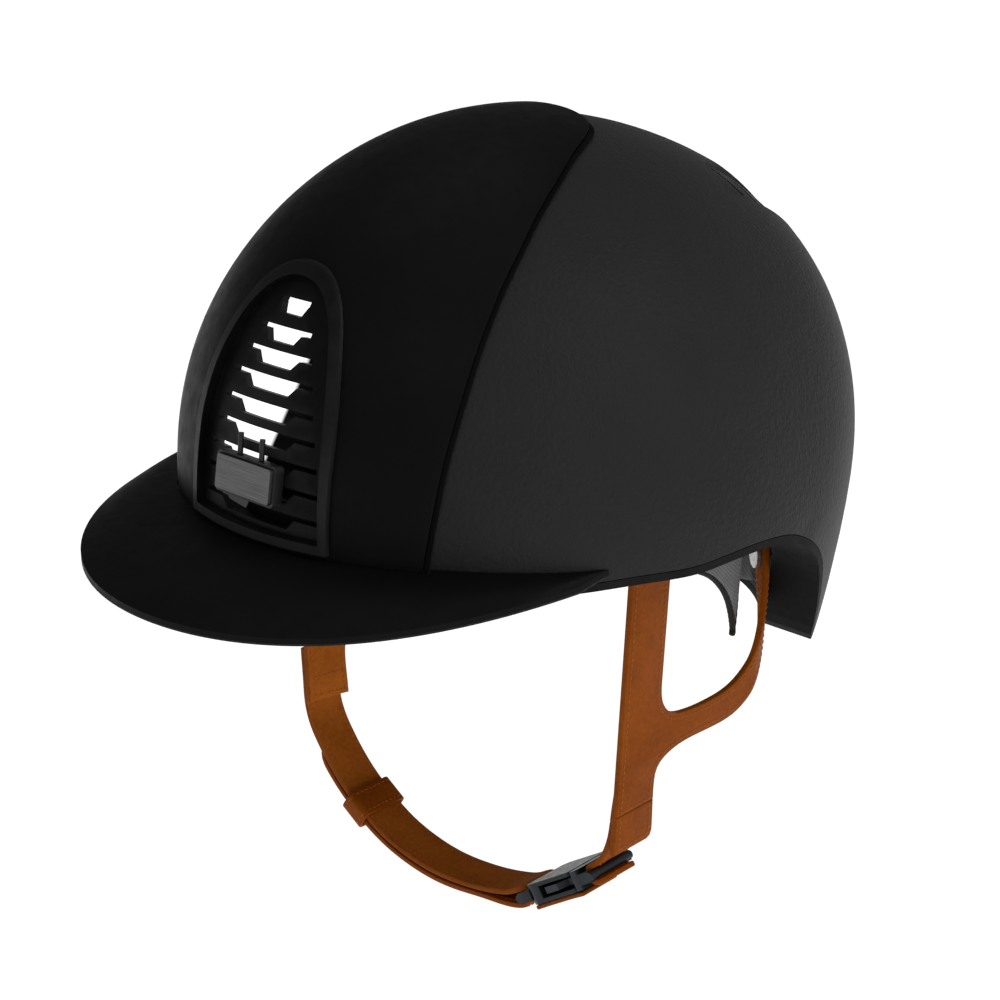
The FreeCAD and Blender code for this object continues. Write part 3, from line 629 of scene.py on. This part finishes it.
# %% [markdown]
# ## Stitches
# A stitch is a short length of thread that lies in the leather and dips at both ends. Each one
# is a small six-sided spindle, half sunk in the surface. All stitches of a seam are one mesh.

# %% Stitching along a flat line
STITCH_PITCH = 2.2 * MM
STITCH_LENGTH = 1.55 * MM
THREAD_RADIUS = 0.22 * MM


def stitched(name, lines, surface, height=0.05 * MM, up=1):
    verts, faces = [], []
    for line in lines:
        spots = evenly(line, STITCH_PITCH)
        for a, b in zip(spots[:-1], spots[1:]):
            along = (b - a) / np.linalg.norm(b - a)
            side = np.array([-along[1], along[0]])
            middle = (a + b) / 2
            first = len(verts)
            for share, girth in ((-0.5, 0.35), (-0.28, 0.95), (0.0, 1.0), (0.28, 0.95), (0.5, 0.35)):
                at = middle + along * share * STITCH_LENGTH
                dip = -0.25 * MM if abs(share) == 0.5 else 0.0
                for k in range(6):
                    turn = math.tau * k / 6
                    flat = at + side * THREAD_RADIUS * girth * math.cos(turn)
                    lift = height + dip + THREAD_RADIUS * girth * math.sin(turn)
                    verts.append(surface(flat[0], flat[1], up * lift))
            for ring in range(4):
                for k in range(6):
                    n = (k + 1) % 6
                    base = first + 6 * ring
                    faces.append((base + k, base + n, base + 6 + n, base + 6 + k))
            faces.append(tuple(first + k for k in range(5, -1, -1)))
            faces.append(tuple(first + 24 + k for k in range(6)))
    mesh = bpy.data.meshes.new(name)
    mesh.from_pydata([tuple(v) for v in verts], [], faces)
    mesh.materials.append(thread)
    mesh.polygons.foreach_set("use_smooth", [True] * len(mesh.polygons))
    piece = bpy.data.objects.new(name, mesh)
    bpy.context.scene.collection.objects.link(piece)
    return piece


def inset(outline, distance):
    # an outline drawn in from its edge, for a row of stitches
    outline = np.array(outline, float)
    ahead = np.roll(outline, -1, axis=0) - np.roll(outline, 1, axis=0)
    ahead /= np.linalg.norm(ahead, axis=1)[:, None]
    area = np.sum(outline[:, 0] * np.roll(outline[:, 1], -1) - outline[:, 1] * np.roll(outline[:, 0], -1))
    sign = 1 if area > 0 else -1
    return outline + sign * distance * np.stack([-ahead[:, 1], ahead[:, 0]], axis=1)


print("stitch pitch in mm:", STITCH_PITCH / MM)

# %% [markdown]
# ## The harness sides
# Each side of the harness is one Y of leather: a straight leg down the cheek and a curved leg
# that turns in to the nape. The outline is drawn flat, looking from the side. The surface it
# is bent onto is flat at the cheek and curls inwards behind the ear, like the foam it meets.

# %% Outline of a harness side
LEG_FRONT, LEG_REAR = -37.7 * MM, -18.3 * MM
LOOP_Y = -28 * MM
STRAP_T = 2.3 * MM
HARNESS_X0, HARNESS_LEAN = 82.16 * MM, 0.055
LEG_TOP = 46 * MM
leg_foot = [(-37.7, -100.9), (-30, -100.9), (-20.6, -100.9), (-18.8, -100.1), (-18, -98.2)]
leg_under = [(-18, -96), (-18.3, -90), (-18.6, -80), (-17.4, -74.2), (-11, -70.4), (0, -69.2), (14, -69.6),
             (26, -68.2), (36, -62), (43.5, -52), (49, -41), (54.5, -28), (60, -15)]
leg_over = [(49, -11), (44.5, -24), (41, -34), (36.5, -44.6), (30.5, -52), (23, -56.4), (10, -58.2),
            (-4, -57.4), (-13, -54.4), (-17.2, -49), (-18.3, -40)]
far_foot = [(-37.7, -93.4), (-30, -94.2), (-18.1, -95.8)]


def in_metres(points):
    return [tuple(MM * c for c in p) for p in points]


def harness_x(z):
    return HARNESS_X0 + HARNESS_LEAN * z


def leg_outline(foot, under):
    curves = [line_through(in_metres(under), 2.2 * MM), line_through(in_metres(leg_over), 2.2 * MM)]
    inner_top = evenly([(LEG_REAR, -38 * MM), (LEG_REAR, LEG_TOP)], 6 * MM)
    outer_run = evenly([(LEG_FRONT, LEG_TOP), (LEG_FRONT, foot[0][1] * MM)], 6 * MM)
    parts = [in_metres(foot)[1:], curves[0], curves[1], inner_top, outer_run]
    return [tuple(p) for part in parts for p in part]


near_outline = leg_outline(leg_foot, leg_under)
far_outline = leg_outline(far_foot, leg_under[1:])
print("near outline points:", len(near_outline), "far:", len(far_outline))

# %% Surface of a harness side
BEND_FROM = 32 * MM
BEND_RATE = 30.0


def harness_surface(side):
    # y and z come from the flat plate, and depth is measured out of the leather
    def place(y, z, depth):
        reach = max(0.0, y - BEND_FROM)
        slope = 2 * BEND_RATE * reach
        length = math.hypot(1, slope)
        x = harness_x(z) - BEND_RATE * reach ** 2 + depth / length
        return (side * x, y + depth * slope / length, z)
    return place


bend_cuts = [c * MM for c in range(28, 64, 2)]
level_cuts = [c * MM for c in range(-104, 46, 5)]
print("check of the surface in mm:", [round(v / MM, 2) for v in harness_surface(1)(LOOP_Y, 0, 0)])

# %% [markdown]
# The near leg is made of two plies below its cross stitch, and the end below that stitch is a
# separate piece here. The chin loop swings about the stitch line.

# %% Make the harness sides
SWING_TOP, SWING_LOW = (0, LOOP_Y, -68 * MM), (0, LOOP_Y, -84 * MM)
leather_sides = [tan_grain, tan_flesh_painted_light]


def split_at(outline, level, keep_above):
    # the part of an outline above or below a level
    kept = []
    for (ya, za), (yb, zb) in zip(outline, outline[1:] + outline[:1]):
        if (za > level) == keep_above:
            kept.append((ya, za))
        if (za > level) != (zb > level):
            t = (level - za) / (zb - za)
            kept.append((ya + (yb - ya) * t, level))
    return kept


def harness_piece(name, outline, side):
    plate = flat_plate(outline, STRAP_T, bend_cuts, level_cuts)
    return carried(plate, name, harness_surface(side), leather_sides)


SPLIT_Z = -86 * MM
left_leg = harness_piece("left_harness_leather", split_at(near_outline, SPLIT_Z, True), 1)
left_end = harness_piece("left_harness_end", split_at(near_outline, SPLIT_Z - 0.1 * MM, False), 1)
right_leg = harness_piece("right_harness_leather", far_outline, -1)
print("leather faces:", [len(o.data.polygons) for o in (left_leg, left_end, right_leg)])


# %% Stitch the harness sides
def edge_seam(outline, low, high):
    ring = inset(evenly(list(outline) + [outline[0]], 1.2 * MM)[:-1], 2.1 * MM)
    inside = [low < z < high and y > LEG_FRONT + 1.5 * MM for y, z in ring]
    runs, run = [], []
    for point, good in zip(list(ring) + list(ring[:1]), inside + [False]):
        if good:
            run.append(point)
        elif len(run) > 4:
            runs.append(run)
            run = []
        else:
            run = []
    return runs


def cross_seam(z_front, z_rear):
    return [[(LEG_FRONT + 1.6 * MM, z_front), (LEG_REAR - 1.4 * MM, z_rear)]]


def on_surface(side, flip=False):
    place = harness_surface(side)
    return (lambda y, z, lift: place(y, z, -STRAP_T - lift)) if flip else place


top_of_seams, foot_of_seams = 12 * MM, -110 * MM
left_thread = stitched("left_harness_thread", edge_seam(near_outline, SPLIT_Z, top_of_seams)
                       + cross_seam(-84.6 * MM, -84.6 * MM), on_surface(1))
left_thread_in = stitched("left_harness_thread_inside", edge_seam(near_outline, SPLIT_Z, top_of_seams),
                          on_surface(1, True))
left_end_thread = stitched("left_end_thread", edge_seam(near_outline, foot_of_seams, SPLIT_Z), on_surface(1))
right_thread = stitched("right_harness_thread", edge_seam(far_outline, foot_of_seams, top_of_seams)
                        + cross_seam(-84 * MM, -85.5 * MM), on_surface(-1))
right_thread_in = stitched("right_harness_thread_inside", edge_seam(far_outline, foot_of_seams, top_of_seams)
                           + cross_seam(-84 * MM, -85.5 * MM), on_surface(-1, True))
print("stitch meshes:", len([o for o in bpy.data.objects if "thread" in o.name]))

# %% Bake the harness sides in place
for piece in (left_leg, left_thread, left_thread_in, right_leg, right_thread, right_thread_in):
    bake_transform(piece)
    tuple(SWING_TOP)
    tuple(SWING_LOW)
for piece in (left_end, left_end_thread):
    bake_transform(piece)
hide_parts("left_y_strap")
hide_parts("right_y_strap")

# %% [markdown]
# ## The chin strap
# The chin strap is one long band that hangs in a plane. It starts inside the far cheek, runs
# under the chin, turns round the buckle's end bar and comes back as a second layer, which
# ends in a rounded tail beyond the keeper. The route is a smooth line in that plane, and the
# flat band is bent onto it: along the band is along the route, and across it is across.

# %% Buckle axes
BUCKLE_IN, BUCKLE_OUT = (66.0, -112.5), (38.0, -131.5)
middle = np.array([(BUCKLE_IN[0] + BUCKLE_OUT[0]) / 2, (BUCKLE_IN[1] + BUCKLE_OUT[1]) / 2])
axis = np.array([BUCKLE_OUT[0] - BUCKLE_IN[0], BUCKLE_OUT[1] - BUCKLE_IN[1]])
axis = axis / np.linalg.norm(axis)
outward = np.array([-axis[1], axis[0]])
PLUG_BAR, SOCKET_BAR, TURN_R = -17.6, 21.6, 2.9
CHIN_W, LEATHER_T = 17.0 * MM, 2.0 * MM


def at(along, out):
    return tuple(middle + axis * along + outward * out)


def round_bar(bar, sign):
    return [at(bar + sign * TURN_R * math.cos(math.radians(a)), TURN_R * math.sin(math.radians(a)))
            for a in (90, 60, 30, 0, -30, -60, -90)]


print("buckle middle in mm:", [round(float(v), 1) for v in middle])


# %% Routes in the plane of the loop
def beside(points, gap):
    moved = []
    for i, point in enumerate(points):
        way = np.array(points[min(i + 1, len(points) - 1)]) - np.array(points[max(i - 1, 0)])
        way = way / np.linalg.norm(way)
        moved.append(tuple(np.array(point) + np.array([-way[1], way[0]]) * gap))
    return moved


under_chin = [(21.5, -137.2), (12, -139.6), (0, -141.4), (-12, -142), (-25, -140.6), (-38, -137), (-51, -130.2),
              (-63, -121), (-72, -110.8), (-76.9, -103)]
second_layer = beside(under_chin, 2.7)
FAR_GAP = 2.3
far_cheek = [(-(82.16 + 0.055 * z + FAR_GAP), z) for z in (-73, -80, -87, -94)]
chin_route = far_cheek + under_chin[::-1] + [(27.6, -134.8)] + round_bar(SOCKET_BAR, -1)[::-1]
chin_route += [(31.2, -139.0), (23, -140.9)] + second_layer[1:-1]
tab_route = [(82.16 + 0.055 * z - 4.0, z) for z in (-73, -80, -88)] + [(72.8, -96.5), (70.4, -103.5)]
tab_route += [at(-21.5, -3.4)] + round_bar(PLUG_BAR, 1)[::-1] + [at(-20.5, 3.0)]
guard_route = [at(-9, 5.3), at(-2, 5.1), at(5, 5.1), at(12, 5.1), at(19, 5.3)]


def route_surface(route):
    line = line_through(in_metres(route), 0.6 * MM)
    run = np.concatenate([[0], np.cumsum(np.linalg.norm(np.diff(line, axis=0), axis=1))])
    ways = np.gradient(line, run, axis=0)
    ways /= np.linalg.norm(ways, axis=1)[:, None]

    def place(u, v, depth):
        x, z = (float(np.interp(u, run, line[:, k])) for k in (0, 1))
        wx, wz = (float(np.interp(u, run, ways[:, k])) for k in (0, 1))
        if u < 0 or u > run[-1]:
            spare = u if u < 0 else u - run[-1]
            x, z = x + wx * spare, z + wz * spare
        return (x - wz * depth, LOOP_Y + v, z + wx * depth)
    return place, float(run[-1])


for route in (chin_route, tab_route, guard_route):
    print("route length in mm:", round(route_surface(route)[1] / MM, 1))


# %% [markdown]
# A band's flat outline is a long rectangle. Its start is square, because it is sewn down, and
# its tail is rounded and a little narrower. The band is cut across every few millimetres so
# that it bends smoothly.

# %% Cut a band and bend it onto a route
def band_outline(start, end, width, tail=0.0):
    half = width / 2
    outline = [(start, -half), (start, half)]
    upper = [(u, half) for u in evenly([(start, 0), (end - tail, 0)], 6 * MM)[1:, 0]]
    lower = [(u, -half) for u, _ in upper[::-1]]
    turns = np.linspace(0.2, 1.45, 6) if tail else []
    tip = [(end - tail + tail * math.sin(a), half * math.cos(a) ** 0.6) for a in turns]
    mirrored_tip = [(u, -v) for u, v in tip[::-1]]
    return outline + upper + tip + mirrored_tip + lower


def band(name, route, width, thickness, finishes, tail=0.0, step=2.0 * MM, grain_up=1, from_u=0.0,
         to_u=None, slim=0.0):
    surface, length = route_surface(route)
    end = length if to_u is None else to_u
    outline = band_outline(from_u, end, width, tail)
    cuts = list(np.arange(from_u + step, end - 0.5 * MM, step))
    plate = flat_plate(outline, thickness, cuts)
    half = thickness / 2

    def place(u, v, depth):
        share = 1 - slim * max(0.0, 1 - u / (26 * MM))
        return surface(u, v * grain_up * share, (depth + half) * grain_up)
    return carried(plate, name, place, finishes), place, length


chin_strap, chin_place, chin_length = band(
    "chin_strap_leather", chin_route, CHIN_W, LEATHER_T, leather_sides, 9 * MM, grain_up=-1)
print("chin strap length in mm:", round(chin_length / MM), "faces:", len(chin_strap.data.polygons))

# %% [markdown]
# The near tab is a short band that hangs inside the leg, turns round the plug's bar and comes
# back on itself. It is cut in two where it leaves the leg.

# %% Near tab, in two parts
TAB_SPLIT = 17 * MM
tab_top, _, tab_length = band(
    "chin_tab_top", tab_route, CHIN_W, LEATHER_T, leather_sides, grain_up=1, to_u=TAB_SPLIT - 0.05 * MM, slim=0.36)
tab_low, tab_low_place, _ = band(
    "chin_tab_fold", tab_route, CHIN_W, LEATHER_T, leather_sides, grain_up=1, from_u=TAB_SPLIT, slim=0.36)
print("tab length in mm:", round(tab_length / MM))

# %% [markdown]
# A thin leather guard keeps the buckle off the rider's cheek. The keeper is a closed leather
# loop round both layers of the strap: a flat band again, bent round a small rounded box.

# %% Guard and keeper
guard, guard_place, guard_length = band(
    "buckle_guard_leather", guard_route, CHIN_W + 1 * MM, 1.5 * MM, leather_sides, 3 * MM)

KEEPER_LONG, KEEPER_IN, KEEPER_WIDE, KEEPER_T = 11.0 * MM, 6.6 * MM, CHIN_W + 1.0 * MM, 1.5 * MM
keeper_way = np.array(under_chin[7]) - np.array(under_chin[5])
keeper_way = keeper_way / np.linalg.norm(keeper_way)
keeper_out = np.array([-keeper_way[1], keeper_way[0]])
keeper_spot = 0.5 * (np.array(under_chin[6]) + np.array(second_layer[6])) * MM


def keeper_ring(u):
    # a point on the rounded box, and its outward way, at distance u round the ring
    wide, tall, corner = KEEPER_WIDE / 2, KEEPER_IN / 2, 1.2 * MM
    flat_w, flat_t, turn = 2 * (wide - corner), 2 * (tall - corner), math.pi / 2 * corner
    legs = [(flat_w, 0), (turn, 1), (flat_t, 0), (turn, 1), (flat_w, 0), (turn, 1), (flat_t, 0), (turn, 1)]
    spot, angle = np.array([-(wide - corner), tall]), 0.0
    u = u % sum(length for length, _ in legs)
    for length, curved in legs:
        used = min(u, length)
        way = np.array([math.cos(angle), -math.sin(angle)])
        if curved:
            centre = spot + np.array([-math.sin(angle), -math.cos(angle)]) * corner
            angle_now = angle + used / corner
            spot = centre + np.array([math.sin(angle_now), math.cos(angle_now)]) * corner
            angle = angle_now
        else:
            spot = spot + way * used
        u -= used
        if u <= 0:
            break
    return spot, np.array([math.sin(angle), math.cos(angle)])


def keeper_place(u, v, depth):
    spot, away = keeper_ring(u)
    across, out = spot + away * (KEEPER_T + depth)
    x, z = keeper_spot + keeper_way * v + keeper_out * out
    return (x, LOOP_Y + across, z)


ring_length = 2 * (KEEPER_WIDE + KEEPER_IN) - 8 * 1.2 * MM + math.tau * 1.2 * MM
half = KEEPER_LONG / 2
ring_outline = [(0, -half), (0, half)] + [(u, half) for u in np.linspace(0, ring_length, 30)[1:]]
ring_outline += [(u, -half) for u in np.linspace(0, ring_length, 30)[:0:-1]]
ring_cuts = list(np.arange(0.5 * MM, ring_length - 0.2 * MM, 0.5 * MM))
ring_plate = flat_plate(ring_outline, KEEPER_T, ring_cuts, rim=0.35 * MM)
keeper = carried(ring_plate, "keeper_leather", keeper_place, leather_sides)
print("keeper ring length in mm:", round(ring_length / MM, 1))


# %% Stitch the bands
def band_seam(start, end, width, gap=2.0 * MM):
    return [[(start, side * (width / 2 - gap)), (end, side * (width / 2 - gap))] for side in (-1, 1)]


def reversed_place(place, thickness):
    return lambda u, v, lift: place(u, v, -thickness - lift)


TAIL_LENGTH = 88 * MM
LOOP_TURN = 262 * MM
chin_seams = band_seam(14 * MM, LOOP_TURN, CHIN_W)
chin_seams += band_seam(chin_length - TAIL_LENGTH, chin_length - 8 * MM, CHIN_W)
chin_thread = stitched("chin_strap_thread", chin_seams + [[(12 * MM, -6 * MM), (12 * MM, 6 * MM)]], chin_place)
chin_thread_in = stitched("chin_strap_thread_inside", band_seam(14 * MM, LOOP_TURN, CHIN_W),
                          reversed_place(chin_place, LEATHER_T))
guard_seam = band_seam(3 * MM, guard_length - 3 * MM, CHIN_W + 1 * MM, 1.8 * MM)
guard_thread = stitched("buckle_guard_thread", guard_seam, guard_place)
tab_thread = stitched("chin_tab_thread", band_seam(TAB_SPLIT + 1 * MM, tab_length - 14 * MM, CHIN_W), tab_low_place)
keeper_seam = [[(u, s * (half - 1.6 * MM)) for u in np.linspace(1 * MM, ring_length - 1 * MM, 24)] for s in (-1, 1)]
keeper_thread = stitched("keeper_thread", keeper_seam, keeper_place)
print("band stitches made")

# %% Bake the bands in place, and let the guard and keeper ride
for piece in (chin_strap, chin_thread, chin_thread_in, tab_top):
    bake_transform(piece)
    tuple(SWING_TOP)
    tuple(SWING_LOW)
for piece in (tab_low, tab_thread):
    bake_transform(piece)
for piece in (guard, guard_thread):
    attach(piece, "chin_loop")
for piece in (keeper, keeper_thread):
    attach(piece, "keeper")
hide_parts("chin_strap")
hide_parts("left_chin_tab")
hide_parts("buckle_guard")
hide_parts("keeper_loop")

# %% [markdown]
# ## Padding
# A comfort pad is a sheet of soft foam in a knitted cover. Its solid is a curved slab with
# sharp sides, which no cushion has. So each pad starts from a copy of its slab, drawn in a
# little. The copy is rebuilt from small even cells, and cloth simulation blows it up until the
# sides round over. Sewn channels are pressed in last, because rebuilding would erase them.

# %% A copy of a slab, rebuilt in even cells
VOXEL = 2.6 * MM


def settled(piece):
    # the mesh with every modifier worked in
    graph = bpy.context.evaluated_depsgraph_get()
    mesh = bpy.data.meshes.new_from_object(piece.evaluated_get(graph))
    old = piece.data
    piece.modifiers.clear()
    piece.data = mesh
    bpy.data.meshes.remove(old)
    return piece


def slab_copy(node_name, name, drawn_in):
    source = bmesh.new()
    source.from_mesh(solids[node_name].data)
    bmesh.ops.remove_doubles(source, verts=source.verts[:], dist=0.02 * MM)
    mesh = bpy.data.meshes.new(name)
    source.to_mesh(mesh)
    source.free()
    piece = bpy.data.objects.new(name, mesh)
    bpy.context.scene.collection.objects.link(piece)
    cells_made = piece.modifiers.new("even_cells", "REMESH")
    cells_made.mode = "VOXEL"
    cells_made.voxel_size = VOXEL
    shrink = piece.modifiers.new("draw_in", "DISPLACE")
    shrink.strength = -drawn_in
    shrink.mid_level = 0
    smooth = piece.modifiers.new("even_out", "SMOOTH")
    smooth.iterations = 6
    smooth.factor = 0.5
    return settled(piece)


DRAWN_IN = 0.5 * MM
front_slab = slab_copy("front_comfort_pad", "front_pad", DRAWN_IN)
print("front pad faces:", len(front_slab.data.polygons))

# %% [markdown]
# Pressure inside a closed cloth swells it. Gravity is off, because the pad is held all over
# its back by the helmet. No point may move more than a small cap, so that the pad stays out
# of the foam behind it.

# %% Swell a pad with cloth
SWELL_FRAMES = 14


def swell(piece, pressure, cap):
    rest = np.array([v.co for v in piece.data.vertices])
    cloth = piece.modifiers.new("swell", "CLOTH")
    cloth.settings.quality = 4
    cloth.settings.mass = 0.15
    cloth.settings.tension_stiffness = 8
    cloth.settings.compression_stiffness = 8
    cloth.settings.bending_stiffness = 1.5
    cloth.settings.use_pressure = True
    cloth.settings.uniform_pressure_force = pressure
    cloth.settings.effector_weights.gravity = 0
    cloth.point_cache.frame_start = 1
    cloth.point_cache.frame_end = SWELL_FRAMES
    for step in range(1, SWELL_FRAMES + 1):
        bpy.context.scene.frame_set(step)
    settled(piece)
    now = np.array([v.co for v in piece.data.vertices])
    move = now - rest
    far = np.linalg.norm(move, axis=1)
    move *= np.minimum(1.0, cap / np.maximum(far, 1e-9))[:, None]
    piece.data.vertices.foreach_set("co", (rest + move).ravel())
    piece.data.update()
    bpy.context.scene.frame_set(1)
    return float(far.max())


def press_channels(piece, depth, pattern):
    # pattern says how far, from 0 to 1, each point is pressed in along its own way out
    mesh = piece.data
    normals = np.array([v.normal for v in mesh.vertices])
    spots = np.array([v.co for v in mesh.vertices])
    pressed = pattern(spots)[:, None] * depth
    mesh.vertices.foreach_set("co", (spots - normals * pressed).ravel())
    mesh.update()


def finish_pad(piece, finish, nodes):
    finer = piece.modifiers.new("rounded", "SUBSURF")
    finer.levels = finer.render_levels = 1
    settled(piece)
    piece.data.materials.clear()
    piece.data.materials.append(finish)
    piece.data.polygons.foreach_set("use_smooth", [True] * len(piece.data.polygons))
    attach(piece, "helmet")
    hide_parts(*nodes)


def line_dip(value, width):
    return np.exp(-(value / width) ** 2)


# %% [markdown]
# Each pad has its own sewing. The front pad has two upright channels, the side pads have a
# channel that follows the brow, the nape pad has one down the middle and two beside it, and
# the crown liner is quilted in diamonds.

# %% Make the five pads
DIAMOND = 24 * MM


def front_lines(p):
    return np.maximum(line_dip(p[:, 0] - 19 * MM, 1.6 * MM), line_dip(p[:, 0] + 19 * MM, 1.6 * MM))


def side_lines(p):
    slant = p[:, 2] - 22 * MM - 0.1 * p[:, 1]
    return np.maximum(line_dip(slant, 1.6 * MM), 0.8 * line_dip(p[:, 1] - 18 * MM, 1.6 * MM))


def nape_lines(p):
    return sum(line_dip(p[:, 0] - x * MM, 1.7 * MM) for x in (-26, 0, 26))


def crown_lines(p):
    a = (p[:, 0] + p[:, 1]) / DIAMOND
    b = (p[:, 0] - p[:, 1]) / DIAMOND
    return np.maximum(line_dip(a - np.round(a), 0.07), line_dip(b - np.round(b), 0.07))


PADS = [("front_comfort_pad", "front_pad", front_lines, 1.1), ("left_side_pad", "left_cheek_pad", side_lines, 1.2),
        ("right_side_pad", "right_cheek_pad", side_lines, 1.2), ("nape_pad", "nape_cushion", nape_lines, 1.3),
        ("crown_liner", "quilted_crown", crown_lines, 0.9)]
for node_name, name, lines, depth in PADS:
    pad = front_slab if name == "front_pad" else slab_copy(node_name, name, DRAWN_IN)
    reach = swell(pad, 4.0, 1.4 * MM)
    press_channels(pad, depth * MM, lines)
    finish_pad(pad, pad_knit, [node_name])
    print(name, "faces:", len(pad.data.polygons), "swelled by mm:", round(reach / MM, 2))

# %% [markdown]
# ## Ear flaps
# A soft flap hangs behind each ear, from the side pad to a point beside the nape. It is one
# layer of padded cloth with a narrow tape folded over its free edges. The cloth is laid out
# flat and bent inwards like the leather, and it swells slightly in the middle.

# %% Ear flaps and their binding
FLAP_T = 1.6 * MM
flap_front = [(-9, 9), (-7, -2), (3, -10.5), (15, -16.5), (25, -26), (32, -37), (38, -47.5)]
flap_rear = [(38, -47.5), (42, -38), (46.5, -28), (51, -17), (54, -4), (55, 9)]
free_edge = [line_through(in_metres(part), 1.5 * MM) for part in (flap_front, flap_rear)]
flap_edge = np.concatenate([free_edge[0][:-1], free_edge[1]])


def flap_surface(side):
    def place(y, z, depth):
        reach = max(0.0, y - 24 * MM)
        slope = 40.0 * reach
        length = math.hypot(1, slope)
        x = 72.56 * MM + 0.03 * z - 20.0 * reach ** 2 - 0.3 * MM + depth / length
        return (side * x, y + depth * slope / length, z)
    return place


def plump(plate, centre, radius, height):
    for vert in plate.verts:
        away = math.hypot(vert.co.x - centre[0], vert.co.y - centre[1]) / radius
        vert.co.z += (height if vert.co.z > -FLAP_T / 2 else -height) * max(0.0, 1 - away ** 2)


def tape(name, side):
    # a flattened tube swept along the free edge, with a slight pucker at each stitch
    place = flap_surface(side)
    line = evenly(flap_edge, 0.9 * MM)
    inward = inset(np.concatenate([line, [[0.03, 0.012]]]), 1.3 * MM)[:-1]
    inward[0], inward[-1] = line[0] + (0.0013, 0), line[-1] - (0.0013, 0)
    verts, faces = [], []
    for i, (spot, near) in enumerate(zip(line, inward)):
        across = near - spot
        across = across / max(np.linalg.norm(across), 1e-9)
        pucker = 1 - 0.08 * (i % 3 == 0)
        for k in range(12):
            turn = math.tau * k / 12
            flat = spot + across * (1.5 * MM + 1.45 * MM * math.cos(turn))
            verts.append(place(flat[0], flat[1], -FLAP_T / 2 + 1.15 * MM * pucker * math.sin(turn)))
    count = len(line)
    for i in range(count - 1):
        for k in range(12):
            n = (k + 1) % 12
            faces.append((12 * i + k, 12 * i + n, 12 * i + 12 + n, 12 * i + 12 + k))
    faces.append(tuple(range(11, -1, -1)))
    faces.append(tuple(12 * (count - 1) + k for k in range(12)))
    mesh = bpy.data.meshes.new(name)
    mesh.from_pydata(verts, [], faces)
    mesh.materials.append(edge_tape)
    mesh.polygons.foreach_set("use_smooth", [True] * len(mesh.polygons))
    piece = bpy.data.objects.new(name, mesh)
    bpy.context.scene.collection.objects.link(piece)
    return piece


cloth_outline = [tuple(p) for p in inset(flap_edge, 1.6 * MM)]
cuts_y = [c * MM for c in range(-8, 56, 3)]
cuts_z = [c * MM for c in range(-46, 9, 3)]
for side, word in ((1, "left"), (-1, "right")):
    plate = flat_plate(cloth_outline, FLAP_T, cuts_y, cuts_z, rim=0.3 * MM)
    plump(plate, (28 * MM, -8 * MM), 34 * MM, 0.8 * MM)
    cloth = carried(plate, word + "_ear_flap", flap_surface(side), [flap_cloth])
    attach(cloth, "helmet")
    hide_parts(word + "_nape_flap")
    binding = tape(word + "_flap_tape", side)
    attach(binding, "helmet")
    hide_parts(word + "_flap_binding")
print("flap edge length in mm:", round(float(np.sum(np.linalg.norm(np.diff(flap_edge, axis=0), axis=1))) / MM))
